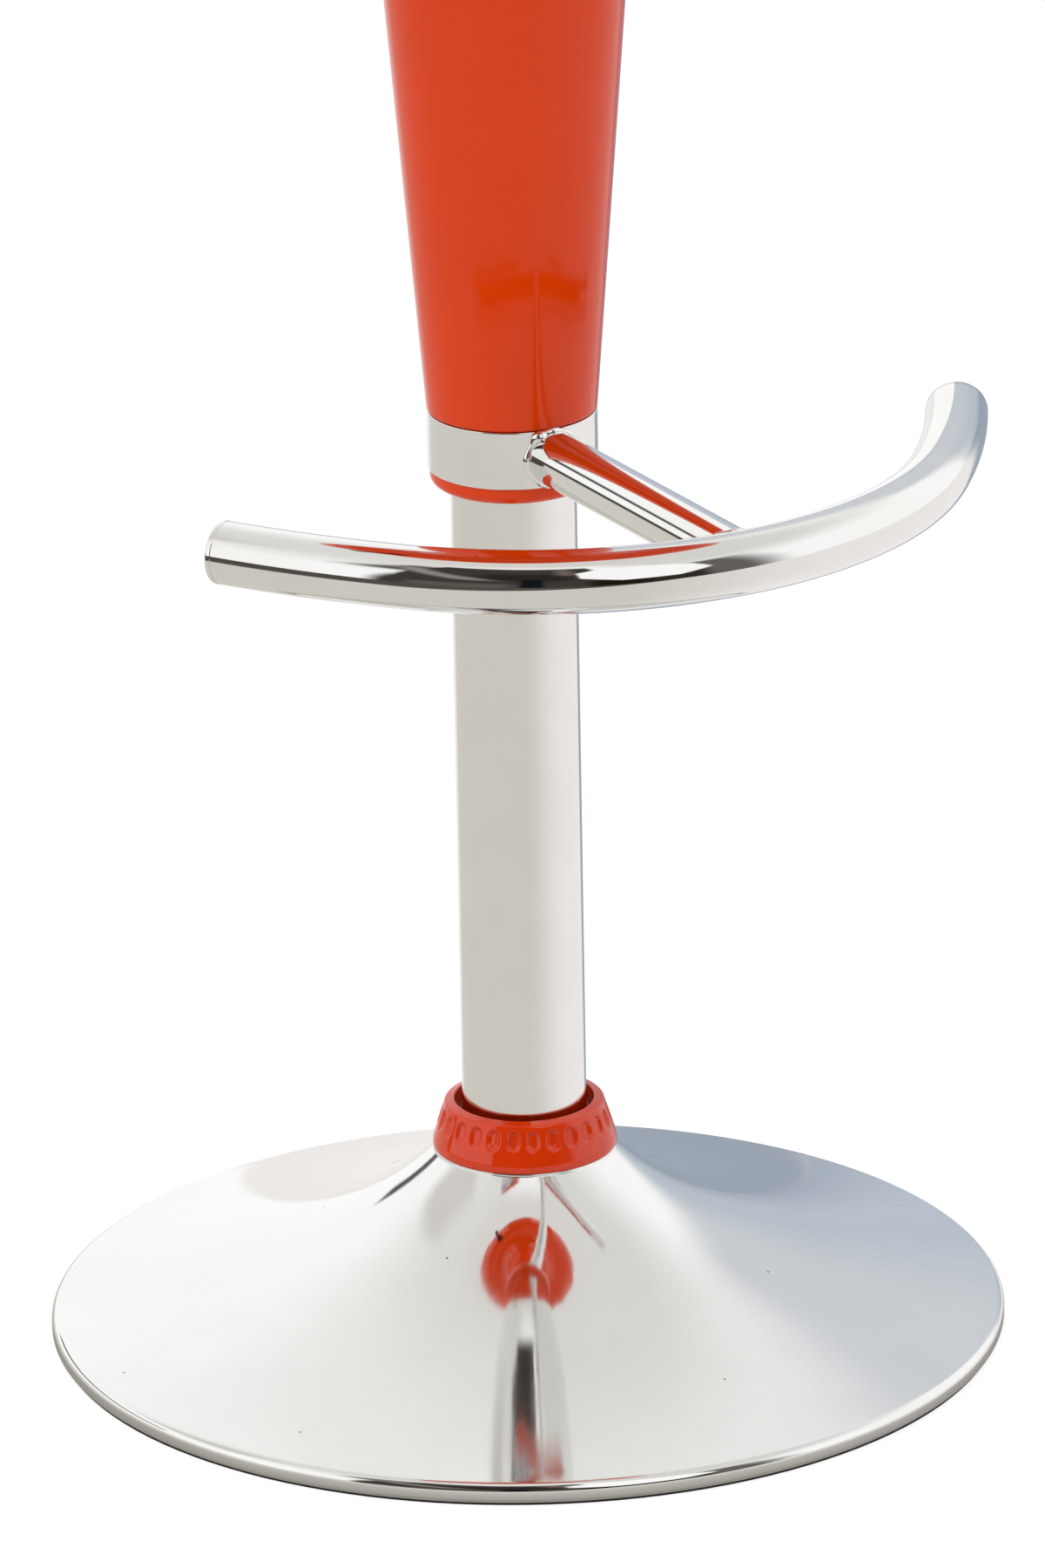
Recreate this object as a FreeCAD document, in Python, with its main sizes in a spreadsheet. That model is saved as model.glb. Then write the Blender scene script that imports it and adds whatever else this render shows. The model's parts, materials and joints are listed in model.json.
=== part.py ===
import FreeCAD, Part
import math
import os

import Sketcher
from FreeCAD import Vector

# Height-adjustable swivel bar stool: chromed trumpet base and column, orange moulded tub seat
# on a tapering cone, and a bent footrest that hangs from a collar under the cone.
# Millimetres. +Z is up, the origin is on the floor under the column, and the footrest faces -Y.
# The stool is drawn with its seat fully raised.

# Driving dimensions
SIZES = {
    # base
    "base_diameter": 385.0,
    "base_sheet": 1.5,
    "rim_height": 9.0,
    "rim_bend": 2.2,
    "floor_gap": 1.2,
    "neck_ledge": 12.0,
    "neck_height": 77.0,
    "neck_bend": 2.0,
    "flare_upper_reach_share": 0.284,
    "flare_upper_drop_share": 0.644,
    "flare_lower_reach_share": 0.766,
    "flare_lower_drop_share": 0.975,
    "flare_bend_share": 0.47,
    "neck_sheet_in_share": 0.526,
    "neck_sheet_down_share": 0.886,
    "rim_sheet_in_share": 0.171,
    "plate_thickness": 3.0,
    "gasket_width": 14.0,
    "ballast_diameter": 200.0,
    "ballast_clearance": 6.0,
    "ballast_thickness": 9.0,
    # column and its foot
    "column_diameter": 50.0,
    "column_wall": 2.0,
    "column_overlap": 66.0,
    "foot_ledge": 17.0,
    "foot_thickness": 6.0,
    "foot_spigot_height": 17.0,
    "foot_web": 8.0,
    "foot_recess_clearance": 4.0,
    "foot_screw_diameter": 6.0,
    "foot_screw_head": 11.0,
    "foot_screw_head_share": 0.7,
    # fluted ring
    "ring_overhang": 0.1,
    "ring_height": 19.9,
    "ring_band": 2.6,
    "ring_lip_inset": 5.1,
    "ring_lip_fall": 1.1,
    "ring_lip_width": 4.0,
    "ring_groove_depth": 8.5,
    "ring_edge": 1.2,
    "flute_width": 5.6,
    "flute_length": 8.8,
    "flute_depth": 1.3,
    "flute_standoff": 0.3,
    "flute_place_share": 0.62,
    "flute_count": 26.0,
    # thrust bearing
    "race_width": 8.0,
    "race_clearance": 0.5,
    "race_thickness": 2.0,
    "ball_diameter": 4.0,
    "ball_count": 8.0,
    "cage_thickness": 1.6,
    # gas lift, whose cylinder comes down on the rod's buffer at the end of its travel
    "travel": 210.0,
    "rod_diameter": 10.0,
    "rod_spigot_step": 1.0,
    "shoulder_step": 3.0,
    "shoulder_height": 3.0,
    "buffer_diameter": 24.0,
    "buffer_height": 14.0,
    "clip_diameter": 18.0,
    "clip_groove_depth": 1.2,
    "clip_thickness": 1.2,
    "rod_tail": 4.0,
    "piston_height": 14.0,
    "piston_ring_height": 4.0,
    "piston_ring_depth": 2.0,
    "nut_height": 5.0,
    "nut_across_flats": 13.0,
    "cylinder_diameter": 28.0,
    "cylinder_wall": 2.0,
    "cylinder_recess": 1.5,
    "taper_length": 54.0,
    "taper_narrowing": 1.2,
    "cylinder_head": 62.0,
    "end_bush_height": 15.0,
    "end_gap": 5.0,
    "guide_length": 90.0,
    "guide_flange": 3.0,
    # cone, collar and trim bush
    "collar_standoff": 8.7,
    "collar_wall": 2.5,
    "collar_base": 364.0,
    "collar_margin": 0.75,
    "trim_height": 7.0,
    "trim_inset": 0.7,
    "trim_bend": 4.6,
    "sleeve_height": 26.0,
    "grub_diameter": 5.0,
    "grub_inset": 0.6,
    # seat
    "shell_wall": 3.5,
    "cone_lip": 1.6,
    "cone_spread_share": 0.0803,
    "seat_height": 775.0,
    "neck_drop": 107.0,
    "bowl_elbow_radius": 184.0,
    "bowl_elbow_drop": 56.0,
    "wall_spread_share": 0.051,
    "shell_bend_share": 0.485,
    "elbow_inset_share": 0.95,
    "elbow_lift_share": 0.69,
    "front_rim_rise": 37.0,
    "back_rim_rise": 165.0,
    "rim_front_share": 0.275,
    "rim_back_share": 0.524,
    "rim_bend_share": 0.31,
    "rim_edge": 2.4,
    "seat_dish": 12.0,
    "pan_wall": 4.0,
    "pan_floor": 5.0,
    "pan_corner": 27.0,
    "boss_diameter": 15.0,
    "boss_screw_depth": 13.0,
    # mechanism
    "mechanism_drop": 30.0,
    "mechanism_margin": 14.0,
    "mechanism_corner": 14.0,
    "mechanism_thickness": 3.0,
    "seat_screw_spacing": 96.0,
    "seat_screw_diameter": 6.0,
    "seat_screw_head": 10.0,
    "seat_screw_head_height": 4.0,
    "washer_diameter": 13.0,
    "washer_thickness": 1.6,
    "socket_wall": 4.0,
    "ear_thickness": 3.0,
    "ear_width": 16.0,
    "ear_round_share": 0.8,
    "pivot_arm": 25.0,
    "pivot_rise": 12.0,
    "pivot_pin_diameter": 5.0,
    "pivot_pin_overhang": 2.0,
    "lever_diameter": 8.0,
    "lever_lug_width": 12.0,
    "lever_lug_diameter": 13.0,
    "lever_tail": 6.0,
    "lever_bend_reach": 44.0,
    "lever_bend_radius": 24.0,
    "lever_inset": 14.0,
    "lever_drop": 66.0,
    "lever_angle": 8.0,
    "slot_play": 3.5,
    "paddle_length": 46.0,
    "paddle_width": 17.0,
    "paddle_thickness": 9.0,
    "paddle_grip": 34.0,
    "paddle_edge": 3.0,
    "paddle_neck_share": 0.6,
    "paddle_near_round_share": 0.3,
    "paddle_far_round_share": 0.7,
    "pin_diameter": 6.0,
    "pin_length": 30.0,
    "pin_chamfer": 1.0,
    # footrest
    "bar_diameter": 25.0,
    "bar_wall": 1.5,
    "bar_reach": 182.4,
    "bar_bend_radius": 158.0,
    "bar_bend_angle": 48.5,
    "bar_end_radius": 412.0,
    "bar_end_angle": 10.5,
    "strut_step": 1.5,
    "strut_wall": 1.5,
    "cap_thickness": 3.2,
    "cap_plug": 9.0,
    "cap_edge": 1.0,
    # fits
    "running_clearance": 0.06,
    "fixed_clearance": 0.05,
    "seat_gap": 0.3,
    "push_gap": 0.5,
    "ball_play": 0.02,
    # how far cutting shapes run past what they cut
    "overrun": 5.0,
}

doc = FreeCAD.newDocument("BarStool")
sheet = doc.addObject("Spreadsheet::Sheet", "Sizes")
for row, (alias, number) in enumerate(SIZES.items(), start=1):
    sheet.set("A%d" % row, alias.replace("_", " "))
    sheet.set("B%d" % row, repr(number))
    sheet.setAlias("B%d" % row, alias)
doc.recompute()


class Size:
    """A number worked out from the sheet, kept with the expression that gives it."""

    def __init__(self, value, text):
        self.value = value
        self.text = text

    def _joined(self, other, sign, value):
        other_text = other.text if isinstance(other, Size) else repr(other)
        return Size(value, "(%s %s %s)" % (self.text, sign, other_text))

    def __add__(self, other):
        return self._joined(other, "+", self.value + number_of(other))

    def __sub__(self, other):
        return self._joined(other, "-", self.value - number_of(other))

    def __mul__(self, other):
        return self._joined(other, "*", self.value * number_of(other))

    def __truediv__(self, other):
        return self._joined(other, "/", self.value / number_of(other))

    def __neg__(self):
        return Size(-self.value, "(0 - %s)" % self.text)


def number_of(amount):
    return amount.value if isinstance(amount, Size) else amount


def size(alias):
    """The sheet's cell of that name."""
    return Size(SIZES[alias], "Sizes." + alias)


def cosine(angle):
    return Size(math.cos(math.radians(angle.value)), "cos(%s)" % angle.text)


def sine(angle):
    return Size(math.sin(math.radians(angle.value)), "sin(%s)" % angle.text)


def slope_angle(rise, run):
    """The angle, in degrees, whose tangent is rise over run."""
    text = "atan(%s / %s) / 1 deg" % (rise.text, run.text)
    return Size(math.degrees(math.atan(rise.value / run.value)), "(%s)" % text)


def hypotenuse(rise, run):
    text = "sqrt(%s * %s + %s * %s)" % (rise.text, rise.text, run.text, run.text)
    return Size(math.hypot(rise.value, run.value), text)


def plain(number):
    """A number that needs no cell, such as an angle or a height measured on a shape."""
    return Size(number, repr(number))


ZERO = plain(0)
QUARTERS = plain(4)
RIGHT_ANGLE = plain(90)
HALF_TURN = plain(180)
FULL_TURN = plain(360)


class Corner:
    """A corner of an outline, sharp or rounded by a radius or by how far back the bend starts."""

    def __init__(self, x, y, radius=None, setback=None):
        self.x = x
        self.y = y
        self.radius = radius
        self.setback = setback
        self.point = Vector(x.value, y.value, 0)

    @property
    def rounded(self):
        return self.radius is not None or self.setback is not None


def place(sketch, geometry, end, x, y):
    """Fix one point of the sketch at x, y from its origin, by expressions."""
    for kind, length, axis in (("DistanceX", x, -2), ("DistanceY", y, -1)):
        if length.text == "0":
            sketch.addConstraint(Sketcher.Constraint("PointOnObject", geometry, end, axis))
            continue
        ends = (-1, 1, geometry, end) if length.value > 0 else (geometry, end, -1, 1)
        signed = length if length.value > 0 else -length
        index = sketch.addConstraint(Sketcher.Constraint(kind, *ends, signed.value))
        sketch.setExpression("Constraints[%d]" % index, signed.text)


def bind(sketch, constraint, length):
    """Add a constraint whose length follows the size's expression."""
    index = sketch.addConstraint(constraint)
    sketch.setExpression("Constraints[%d]" % index, length.text)


def draw_outline(sketch, corners, closed=True):
    """Straight sides from corner to corner, with tangent arcs at the rounded ones."""
    count = len(corners)
    starts = [corner.point for corner in corners]
    ends = [corner.point for corner in corners]
    for i, corner in enumerate(corners):
        if not corner.rounded:
            continue
        before = (corners[i - 1].point - corner.point).normalize()
        after = (corners[(i + 1) % count].point - corner.point).normalize()
        half_turn = (math.pi - before.getAngle(after)) / 2
        if corner.setback is not None:
            setback = corner.setback.value
            radius = setback / math.tan(half_turn)
        else:
            radius = corner.radius.value
            setback = radius * math.tan(half_turn)
        ends[i] = corner.point + before * setback
        starts[i] = corner.point + after * setback
        middle = (before + after).normalize()
        centre = corner.point + middle * math.hypot(radius, setback)
        corner.bend = Part.Arc(ends[i], centre - middle * radius, starts[i])
    sides = {}
    for i in range(count if closed else count - 1):
        j = (i + 1) % count
        sides[i] = sketch.addGeometry(Part.LineSegment(starts[i], ends[j]))
    for i, corner in enumerate(corners):
        incoming = sides.get((i - 1) % count if closed else i - 1)
        outgoing = sides.get(i)
        if not corner.rounded:
            geometry, end = (outgoing, 1) if outgoing is not None else (incoming, 2)
            place(sketch, geometry, end, corner.x, corner.y)
            if outgoing is not None and incoming is not None:
                sketch.addConstraint(Sketcher.Constraint("Coincident", incoming, 2, outgoing, 1))
            continue
        arc = sketch.addGeometry(corner.bend)
        first, second = (1, 2) if nearer_start(sketch, arc, ends[i]) else (2, 1)
        mark = sketch.addGeometry(Part.Point(corner.point), True)
        place(sketch, mark, 1, corner.x, corner.y)
        sketch.addConstraint(Sketcher.Constraint("PointOnObject", mark, 1, incoming))
        sketch.addConstraint(Sketcher.Constraint("PointOnObject", mark, 1, outgoing))
        sketch.addConstraint(Sketcher.Constraint("Tangent", incoming, 2, arc, first))
        sketch.addConstraint(Sketcher.Constraint("Tangent", outgoing, 1, arc, second))
        if corner.setback is not None:
            bind(sketch, Sketcher.Constraint("Distance", mark, 1, incoming, 2, corner.setback.value),
                 corner.setback)
        else:
            bind(sketch, Sketcher.Constraint("Radius", arc, corner.radius.value), corner.radius)


def nearer_start(sketch, arc, point):
    """Whether the arc's start, and not its end, lies at the point."""
    start = sketch.getPoint(arc, 1)
    end = sketch.getPoint(arc, 2)
    return start.distanceToPoint(point) < end.distanceToPoint(point)


def draw_circle(sketch, x, y, radius):
    """A circle about x, y from the sketch's origin."""
    circle = sketch.addGeometry(Part.Circle(Vector(x.value, y.value, 0), Vector(0, 0, 1), radius.value))
    place(sketch, circle, 3, x, y)
    bind(sketch, Sketcher.Constraint("Radius", circle, radius.value), radius)


class Piece:
    """One physical piece: a body whose features are drawn on its own origin planes."""

    def __init__(self, label):
        self.label = label
        self.body = doc.addObject("PartDesign::Body", "Body_" + label)
        self.body.Label = label
        self.planes = {item.Role: item for item in self.body.Origin.OriginFeatures}

    def sketch(self, plane, height=None):
        """A sketch on one of the piece's own planes, or that far along the plane's normal."""
        sketch = self.body.newObject("Sketcher::SketchObject", "Sketch")
        sketch.AttachmentSupport = [(self.planes[plane], "")]
        sketch.MapMode = "FlatFace"
        if height is not None:
            sketch.setExpression("AttachmentOffset.Base.z", height.text)
        return sketch

    def add(self, kind, sketch, **settings):
        """A feature made from a sketch, with settings that may be sizes."""
        feature = self.body.newObject("PartDesign::" + kind, kind)
        feature.Profile = sketch
        sketch.Visibility = False
        for name, setting in settings.items():
            if isinstance(setting, Size):
                setattr(feature, name, setting.value)
                feature.setExpression(name, setting.text)
            else:
                setattr(feature, name, setting)
        return feature

    def revolve(self, corners, kind="Revolution"):
        """A turned shape: the corners are radius and height."""
        sketch = self.sketch("XZ_Plane")
        draw_outline(sketch, corners)
        return self.add(kind, sketch, ReferenceAxis=(sketch, ["V_Axis"]), Angle=FULL_TURN)

    def pad(self, sketch, length, **settings):
        return self.add("Pad", sketch, Length=length, **settings)

    def cut(self, sketch, length, **settings):
        return self.add("Pocket", sketch, Length=length, **settings)

    def ring_of(self, features, count):
        """The features repeated about the stool's axis."""
        pattern = self.body.newObject("PartDesign::PolarPattern", "PolarPattern")
        pattern.Originals = features
        pattern.Axis = (self.planes["Z_Axis"], [""])
        pattern.Angle = FULL_TURN.value
        pattern.Occurrences = int(count.value)
        pattern.setExpression("Occurrences", count.text)
        self.body.Tip = pattern

    def soften(self, chosen, amount, kind="Fillet"):
        """Round or bevel the edges that the chosen test picks."""
        doc.recompute()
        base = self.body.Tip
        names = ["Edge%d" % (i + 1) for i, edge in enumerate(base.Shape.Edges) if chosen(edge)]
        if not names:
            raise RuntimeError("%s: no edge to soften" % self.label)
        feature = self.body.newObject("PartDesign::" + kind, kind)
        feature.Base = (base, names)
        name = "Radius" if kind == "Fillet" else "Size"
        setattr(feature, name, amount.value)
        feature.setExpression(name, amount.text)
        return feature


def put(item, x, y, z, yaw=None, lean=None):
    """Stand a body or primitive at a point, leant about Y and then turned about Z."""
    yaw = yaw or ZERO
    lean = lean or ZERO
    turned = "rotation(vector(0; 0; 1); %s) * rotation(vector(0; 1; 0); %s)" % (yaw.text, lean.text)
    where = "vector(%s; %s; %s)" % (x.text, y.text, z.text)
    item.setExpression("Placement", "placement(%s; %s)" % (where, turned))


def box_corners(x_low, x_high, y_low, y_high):
    """The corners of an upright rectangle."""
    return [Corner(x_low, y_low), Corner(x_high, y_low), Corner(x_high, y_high), Corner(x_low, y_high)]


def tube(label, inner, outer, bottom, top):
    """A plain turned ring, or a disc where the inner radius is zero."""
    piece = Piece(label)
    piece.revolve(box_corners(inner, outer, bottom, top))
    return piece


# Sizes that several pieces share
base_radius = size("base_diameter") / 2
neck_height = size("neck_height")
sheet_metal = size("base_sheet")
column_radius = size("column_diameter") / 2
neck_radius = column_radius + size("neck_ledge")
column_bore = column_radius - size("column_wall")
bar_radius = size("bar_diameter") / 2
strut_radius = bar_radius - size("strut_step")
plate_top = size("rim_height") - sheet_metal - size("seat_gap")
plate_bottom = plate_top - size("plate_thickness")
foot_radius = column_radius + size("foot_ledge")
foot_recess = size("clip_diameter") / 2 + size("foot_recess_clearance")
foot_screw_place = (foot_radius + column_bore) / 2
foot_top = plate_top + size("foot_thickness")
web_top = foot_top + size("foot_spigot_height")
web_bottom = web_top - size("foot_web")
fixed = size("fixed_clearance")
running = size("running_clearance")
rod_radius = size("rod_diameter") / 2
race_bore = rod_radius + size("race_clearance")
race_radius = race_bore + size("race_width")
ball_place = (race_bore + race_radius) / 2
ball_radius = size("ball_diameter") / 2
balls_middle = web_top + size("race_thickness") + size("ball_play") + ball_radius
upper_race_bottom = balls_middle + ball_radius + size("ball_play")
shoulder_bottom = upper_race_bottom + size("race_thickness")
shoulder_top = shoulder_bottom + size("shoulder_height")
column_top = size("collar_base") + size("column_overlap")
cylinder_radius = size("cylinder_diameter") / 2
cylinder_bore = cylinder_radius - size("cylinder_wall")
cylinder_bottom = shoulder_top + size("buffer_height") + size("seat_gap") + size("travel")
piston_bottom = cylinder_bottom + size("end_bush_height") + size("end_gap")
collar_radius = column_radius + size("collar_standoff")
collar_bore = collar_radius - size("collar_wall")
collar_middle = size("collar_base") + size("collar_margin") + strut_radius
collar_top = collar_middle + size("collar_margin") + strut_radius
sleeve_radius = column_radius + running
mechanism_top = size("seat_height") - size("mechanism_drop")
mechanism_bottom = mechanism_top - size("mechanism_thickness")
pivot_height = mechanism_top + size("pivot_rise")
lever_radius = size("lever_diameter") / 2
pivot_x = -size("pivot_arm")
bend_x = pivot_x - size("lever_bend_reach")
tip_x = size("lever_inset") - size("bowl_elbow_radius")
tip_z = pivot_height - size("lever_drop")
bar_centre = size("bar_reach") - size("bar_bend_radius")
cylinder_top = mechanism_top - size("cylinder_recess")
taper_bottom = cylinder_top - size("taper_length")
neck_top = size("seat_height") - size("neck_drop")
elbow_height = size("seat_height") - size("bowl_elbow_drop")
front_rim = size("seat_height") + size("front_rim_rise")
back_rim = size("seat_height") + size("back_rim_rise")


def taper_radius(height):
    """The cylinder's radius at a height on its taper."""
    share = (height - taper_bottom) / size("taper_length")
    return cylinder_radius - size("taper_narrowing") * share


def make_base():
    """Trumpet, bottom plate, ballast and floor gasket."""
    reach = base_radius - neck_radius
    drop = neck_height - size("rim_height")
    upper_x = neck_radius + reach * size("flare_upper_reach_share")
    upper_z = neck_height - drop * size("flare_upper_drop_share")
    lower_x = neck_radius + reach * size("flare_lower_reach_share")
    lower_z = neck_height - drop * size("flare_lower_drop_share")
    upper_bend = hypotenuse(upper_z - lower_z, lower_x - upper_x) * size("flare_bend_share")
    lower_bend = (base_radius - lower_x) * size("flare_bend_share") * 2
    hole = column_radius + fixed
    under_x = sheet_metal * size("neck_sheet_in_share")
    under_z = sheet_metal * size("neck_sheet_down_share")
    trumpet = Piece("base_trumpet")
    trumpet.revolve([
        Corner(hole, neck_height),
        Corner(neck_radius, neck_height, radius=size("neck_bend")),
        Corner(upper_x, upper_z, setback=upper_bend),
        Corner(lower_x, lower_z, setback=lower_bend),
        Corner(base_radius, size("rim_height"), radius=size("rim_bend")),
        Corner(base_radius, size("floor_gap")),
        Corner(base_radius - sheet_metal, size("floor_gap")),
        Corner(base_radius - sheet_metal, size("rim_height") - sheet_metal),
        Corner(lower_x - sheet_metal * size("rim_sheet_in_share"), lower_z - sheet_metal,
               setback=lower_bend),
        Corner(upper_x - under_x, upper_z - under_z, setback=upper_bend),
        Corner(neck_radius - under_x, neck_height - sheet_metal),
        Corner(hole, neck_height - sheet_metal),
    ])

    plate_radius = base_radius - sheet_metal - size("seat_gap")
    plate = tube("base_plate", foot_recess, plate_radius, plate_bottom, plate_top)
    heads = plate.sketch("XY_Plane")
    draw_circle(heads, foot_screw_place, ZERO, size("foot_screw_diameter") / 2 + running)
    plate.ring_of([plate.cut(heads, plate_top + size("overrun"), Reversed=True)], QUARTERS)

    tube("ballast_ring", foot_radius + size("ballast_clearance"), size("ballast_diameter") / 2,
         plate_top, plate_top + size("ballast_thickness"))

    tube("floor_gasket", plate_radius - size("gasket_width"), plate_radius, ZERO, plate_bottom)


def make_column():
    """Column tube with its foot, screws and guide bush."""
    foot = Piece("column_foot")
    spigot = column_bore - fixed
    rod_hole = rod_radius + running
    foot.revolve([
        Corner(rod_hole, web_top),
        Corner(spigot, web_top),
        Corner(spigot, foot_top),
        Corner(foot_radius, foot_top),
        Corner(foot_radius, plate_top),
        Corner(foot_recess, plate_top),
        Corner(foot_recess, web_bottom),
        Corner(rod_hole, web_bottom),
    ])
    screw_radius = size("foot_screw_diameter") / 2
    tapped = foot.sketch("XY_Plane")
    draw_circle(tapped, foot_screw_place, ZERO, screw_radius + running)
    foot.ring_of([foot.cut(tapped, foot_top + size("overrun"), Reversed=True)], QUARTERS)

    screws = Piece("foot_screws")
    head = size("foot_screw_head") / 2
    head_height = (plate_bottom - size("floor_gap")) * size("foot_screw_head_share")
    first = screws.sketch("XY_Plane", plate_bottom - head_height)
    draw_circle(first, foot_screw_place, ZERO, head)
    head_pad = screws.pad(first, head_height)
    second = screws.sketch("XY_Plane", plate_bottom)
    draw_circle(second, foot_screw_place, ZERO, screw_radius)
    shank_pad = screws.pad(second, foot_top - plate_bottom)
    screws.ring_of([head_pad, shank_pad], QUARTERS)

    tube("column_tube", column_bore, column_radius, foot_top, column_top)

    guide = Piece("column_guide")
    bush_bottom = column_top - size("guide_length")
    flange_top = column_top + size("guide_flange")
    bore = cylinder_radius + running
    guide.revolve([
        Corner(bore, bush_bottom),
        Corner(column_bore - fixed, bush_bottom),
        Corner(column_bore - fixed, column_top),
        Corner(column_radius, column_top),
        Corner(column_radius, flange_top),
        Corner(bore, flange_top),
    ])


def make_ring():
    """Fluted ring round the foot of the column, with an open groove between its lip and the column."""
    hole = column_radius + fixed
    outer = neck_radius + size("ring_overhang")
    top = neck_height + size("ring_height")
    lip = outer - size("ring_lip_inset")
    lip_inner = lip - size("ring_lip_width")
    groove_bottom = top - size("ring_groove_depth")
    edge = size("ring_edge")
    band_top = neck_height + size("ring_band")
    lip_top = top - size("ring_lip_fall")
    ring = Piece("base_ring")
    ring.revolve([
        Corner(hole, neck_height),
        Corner(outer, neck_height, radius=edge / 2),
        Corner(outer, band_top, setback=edge),
        Corner(lip, lip_top, radius=edge),
        Corner(lip_inner, top, radius=edge / 2),
        Corner(lip_inner, groove_bottom),
        Corner(hole, groove_bottom),
    ])
    lean = slope_angle(outer - lip, lip_top - band_top)
    flute = ring.body.newObject("PartDesign::SubtractiveEllipsoid", "Flute")
    standoff = size("flute_standoff")
    for name, amount in (("Radius1", size("flute_length") / 2), ("Radius2", size("flute_depth") + standoff),
                         ("Radius3", size("flute_width") / 2)):
        setattr(flute, name, amount.value)
        flute.setExpression(name, amount.text)
    flute_x = outer - (outer - lip) * size("flute_place_share") + standoff * cosine(lean)
    flute_z = band_top + (lip_top - band_top) * size("flute_place_share") + standoff * sine(lean)
    put(flute, flute_x, ZERO, flute_z, ZERO, -lean)
    ring.ring_of([flute], size("flute_count"))


def make_bearing():
    """Thrust bearing under the piston rod's shoulder."""
    tube("lower_race", race_bore, race_radius, web_top, web_top + size("race_thickness"))
    tube("upper_race", race_bore, race_radius, upper_race_bottom, shoulder_bottom)

    balls = Piece("thrust_balls")
    ball = balls.body.newObject("PartDesign::AdditiveSphere", "Ball")
    ball.Radius = ball_radius.value
    ball.setExpression("Radius", ball_radius.text)
    put(ball, ball_place, ZERO, balls_middle)
    balls.ring_of([ball], size("ball_count"))

    half_cage = size("cage_thickness") / 2
    cage = tube("ball_cage", race_bore, race_radius - running,
                balls_middle - half_cage, balls_middle + half_cage)
    pocket = cage.sketch("XY_Plane", balls_middle - half_cage)
    draw_circle(pocket, ball_place, ZERO, ball_radius + running)
    cage.ring_of([cage.cut(pocket, size("cage_thickness"), Reversed=True)], size("ball_count"))


def make_gas_lift():
    """Piston rod that stands in the foot, and the cylinder that rises on it."""
    spigot = rod_radius - size("rod_spigot_step")
    groove = rod_radius - size("clip_groove_depth")
    clip_top = web_bottom - size("seat_gap")
    clip_bottom = clip_top - size("clip_thickness")
    rod_bottom = clip_bottom - size("rod_tail")
    piston_top = piston_bottom + size("piston_height")
    nut_top = piston_top + size("nut_height")
    rod_top = nut_top + size("seat_gap")
    shoulder = rod_radius + size("shoulder_step")
    rod = Piece("piston_rod")
    rod.revolve([
        Corner(ZERO, rod_bottom),
        Corner(rod_radius, rod_bottom),
        Corner(rod_radius, clip_bottom),
        Corner(groove, clip_bottom),
        Corner(groove, clip_top),
        Corner(rod_radius, clip_top),
        Corner(rod_radius, shoulder_bottom),
        Corner(shoulder, shoulder_bottom),
        Corner(shoulder, shoulder_top),
        Corner(rod_radius, shoulder_top),
        Corner(rod_radius, piston_bottom),
        Corner(spigot, piston_bottom),
        Corner(spigot, rod_top),
        Corner(ZERO, rod_top),
    ])

    clip_radius = size("clip_diameter") / 2
    clip = tube("rod_clip", groove + fixed, clip_radius, clip_bottom, clip_top)
    mouth = clip.sketch("XY_Plane", clip_bottom)
    draw_outline(mouth, box_corners(ZERO, clip_radius + size("overrun"), -groove, groove))
    clip.cut(mouth, size("clip_thickness"), Reversed=True)

    tube("rod_buffer", rod_radius + fixed, size("buffer_diameter") / 2,
         shoulder_top, shoulder_top + size("buffer_height"))

    piston_radius = cylinder_bore - running
    ring_bottom = piston_bottom + (size("piston_height") - size("piston_ring_height")) / 2
    ring_top = ring_bottom + size("piston_ring_height")
    ring_inner = piston_radius - size("piston_ring_depth")
    piston = Piece("piston")
    piston.revolve([
        Corner(spigot + fixed, piston_bottom),
        Corner(piston_radius, piston_bottom),
        Corner(piston_radius, ring_bottom),
        Corner(ring_inner, ring_bottom),
        Corner(ring_inner, ring_top),
        Corner(piston_radius, ring_top),
        Corner(piston_radius, piston_top),
        Corner(spigot + fixed, piston_top),
    ])
    tube("piston_ring", ring_inner, cylinder_bore - running / 2, ring_bottom, ring_top)

    nut = Piece("piston_nut")
    hexagon = nut.sketch("XY_Plane", piston_top)
    draw_outline(hexagon, hexagon_corners(ZERO, ZERO, size("nut_across_flats") / 2))
    draw_circle(hexagon, ZERO, ZERO, spigot + fixed)
    nut.pad(hexagon, size("nut_height"))

    head_bottom = cylinder_top - size("cylinder_head")
    pin_hole = size("pin_diameter") / 2 + running
    cylinder = Piece("gas_cylinder")
    cylinder.revolve([
        Corner(cylinder_bore, cylinder_bottom),
        Corner(cylinder_radius, cylinder_bottom),
        Corner(cylinder_radius, taper_bottom),
        Corner(cylinder_radius - size("taper_narrowing"), cylinder_top),
        Corner(pin_hole, cylinder_top),
        Corner(pin_hole, head_bottom),
        Corner(cylinder_bore, head_bottom),
    ])
    tube("cylinder_end_bush", rod_radius + running, cylinder_bore - fixed,
         cylinder_bottom, cylinder_bottom + size("end_bush_height"))


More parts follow.
